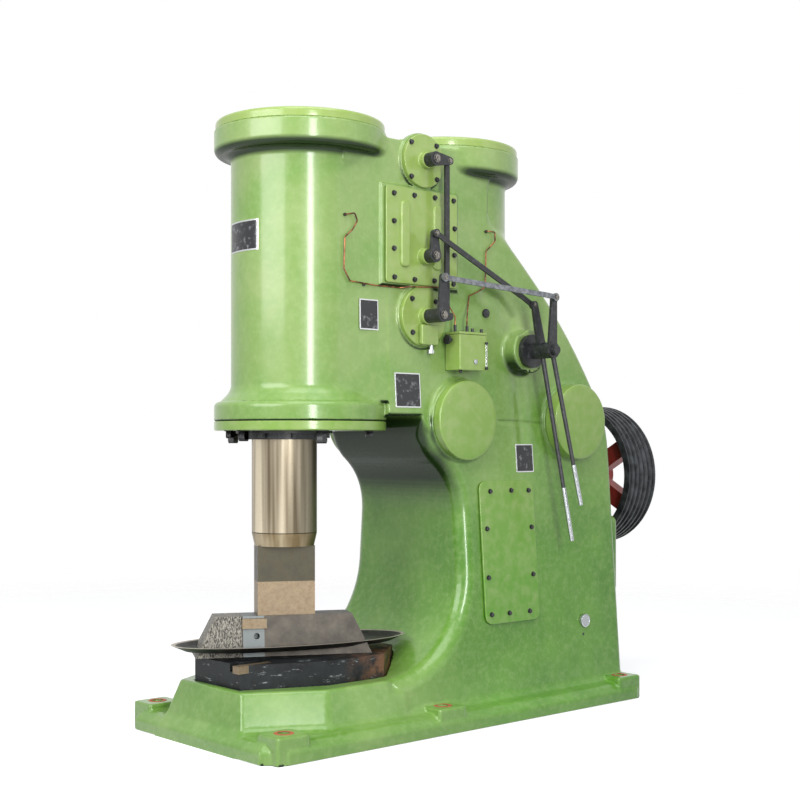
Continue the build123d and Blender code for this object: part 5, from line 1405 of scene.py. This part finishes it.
def build_camera():
    """Level camera at the photograph's place, with its focal length and shift."""
    data = bpy.data.cameras.new("photo_camera")
    data.sensor_width = SENSOR
    data.lens = SENSOR * PHOTO_FOCUS / PHOTO_WIDE
    data.shift_y = CAMERA_SHIFT
    data.clip_end = 400.0
    camera = bpy.data.objects.new("photo_camera", data)
    bpy.context.scene.collection.objects.link(camera)
    camera.location = CAMERA_PLACE
    camera.rotation_euler = (np.pi / 2, 0, -np.arctan2(*CAMERA_AHEAD))
    bpy.context.scene.camera = camera


def build_stage(sizes, colours):
    """Pale floor and backdrop, soft studio light and the photograph's camera."""
    build_floor(sizes.floor_half * 1000, tuple(colours.floor))
    build_world(tuple(colours.sky), tuple(colours.backdrop))
    for lamp in LAMPS:
        area_light(*lamp)
    build_camera()
    bpy.context.scene.view_settings.view_transform = "Standard"


# Operators

MATERIALS = {}


def store():
    """Materials, made once for the session."""
    if not MATERIALS:
        MATERIALS.update(make_materials())
    return MATERIALS


class HAMMER_OT_casting(bpy.types.Operator):
    """Build the frame casting's surface."""

    bl_idname = "hammer.casting"
    bl_label = "Frame casting"

    def execute(self, context):
        build_casting(context.scene.hammer_sizes, store())
        return {"FINISHED"}


class HAMMER_OT_covers(bpy.types.Operator):
    """Build the cylinder, side, valve and inspection covers."""

    bl_idname = "hammer.covers"
    bl_label = "Covers"

    def execute(self, context):
        build_cylinder_lids(store())
        build_lower_cover(store())
        build_round_covers(store())
        build_valve_covers(store())
        build_inspection_covers(store())
        return {"FINISHED"}


class HAMMER_OT_bolts(bpy.types.Operator):
    """Build the bolts, nuts and spot faces."""

    bl_idname = "hammer.bolts"
    bl_label = "Bolts and nuts"

    def execute(self, context):
        build_cover_bolts(context.scene.hammer_sizes, store())
        build_nuts(context.scene.hammer_sizes, store())
        build_spot_faces(store())
        return {"FINISHED"}


class HAMMER_OT_oil_gear(bpy.types.Operator):
    """Build the lubricator's shown pieces and small oil fittings."""

    bl_idname = "hammer.oil_gear"
    bl_label = "Oil gear"

    def execute(self, context):
        build_oil_gear(store())
        return {"FINISHED"}


class HAMMER_OT_nameplates(bpy.types.Operator):
    """Build the bare nameplates."""

    bl_idname = "hammer.nameplates"
    bl_label = "Nameplates"

    def execute(self, context):
        build_nameplates(context.scene.hammer_sizes, store())
        return {"FINISHED"}


class HAMMER_OT_cad_finish(bpy.types.Operator):
    """Give the CAD pieces their materials."""

    bl_idname = "hammer.cad_finish"
    bl_label = "Finish CAD pieces"

    def execute(self, context):
        finish_cad(store())
        return {"FINISHED"}


class HAMMER_OT_stage(bpy.types.Operator):
    """Build the floor, backdrop, lights and camera."""

    bl_idname = "hammer.stage"
    bl_label = "Stage"

    def execute(self, context):
        build_stage(context.scene.hammer_sizes, context.scene.hammer_colours)
        return {"FINISHED"}


class HAMMER_PT_panel(bpy.types.Panel):
    """Sidebar panel with the sizes, colours and build steps."""

    bl_idname = "HAMMER_PT_panel"
    bl_label = "Forging hammer"
    bl_space_type = "VIEW_3D"
    bl_region_type = "UI"
    bl_category = "Hammer"

    def draw(self, context):
        for group in (context.scene.hammer_sizes, context.scene.hammer_colours):
            for name in group.__annotations__:
                self.layout.prop(group, name)
        for step in STEPS:
            self.layout.operator(step.bl_idname)


STEPS = (
    HAMMER_OT_casting, HAMMER_OT_covers, HAMMER_OT_bolts, HAMMER_OT_oil_gear, HAMMER_OT_nameplates,
    HAMMER_OT_cad_finish, HAMMER_OT_stage,
)
CLASSES = (HammerSizes, HammerColours) + STEPS + (HAMMER_PT_panel,)


def register():
    """Add the add-on's classes and its settings to Blender."""
    for cls in CLASSES:
        bpy.utils.register_class(cls)
    bpy.types.Scene.hammer_sizes = bpy.props.PointerProperty(type=HammerSizes)
    bpy.types.Scene.hammer_colours = bpy.props.PointerProperty(type=HammerColours)


def unregister():
    """Take the add-on's classes and settings out again."""
    del bpy.types.Scene.hammer_sizes
    del bpy.types.Scene.hammer_colours
    for cls in reversed(CLASSES):
        bpy.utils.unregister_class(cls)


def main():
    """Build everything in order."""
    register()
    bpy.ops.hammer.casting()
    bpy.ops.hammer.covers()
    bpy.ops.hammer.bolts()
    bpy.ops.hammer.oil_gear()
    bpy.ops.hammer.nameplates()
    bpy.ops.hammer.cad_finish()
    bpy.ops.hammer.stage()


if __name__ == "__main__":
    main()
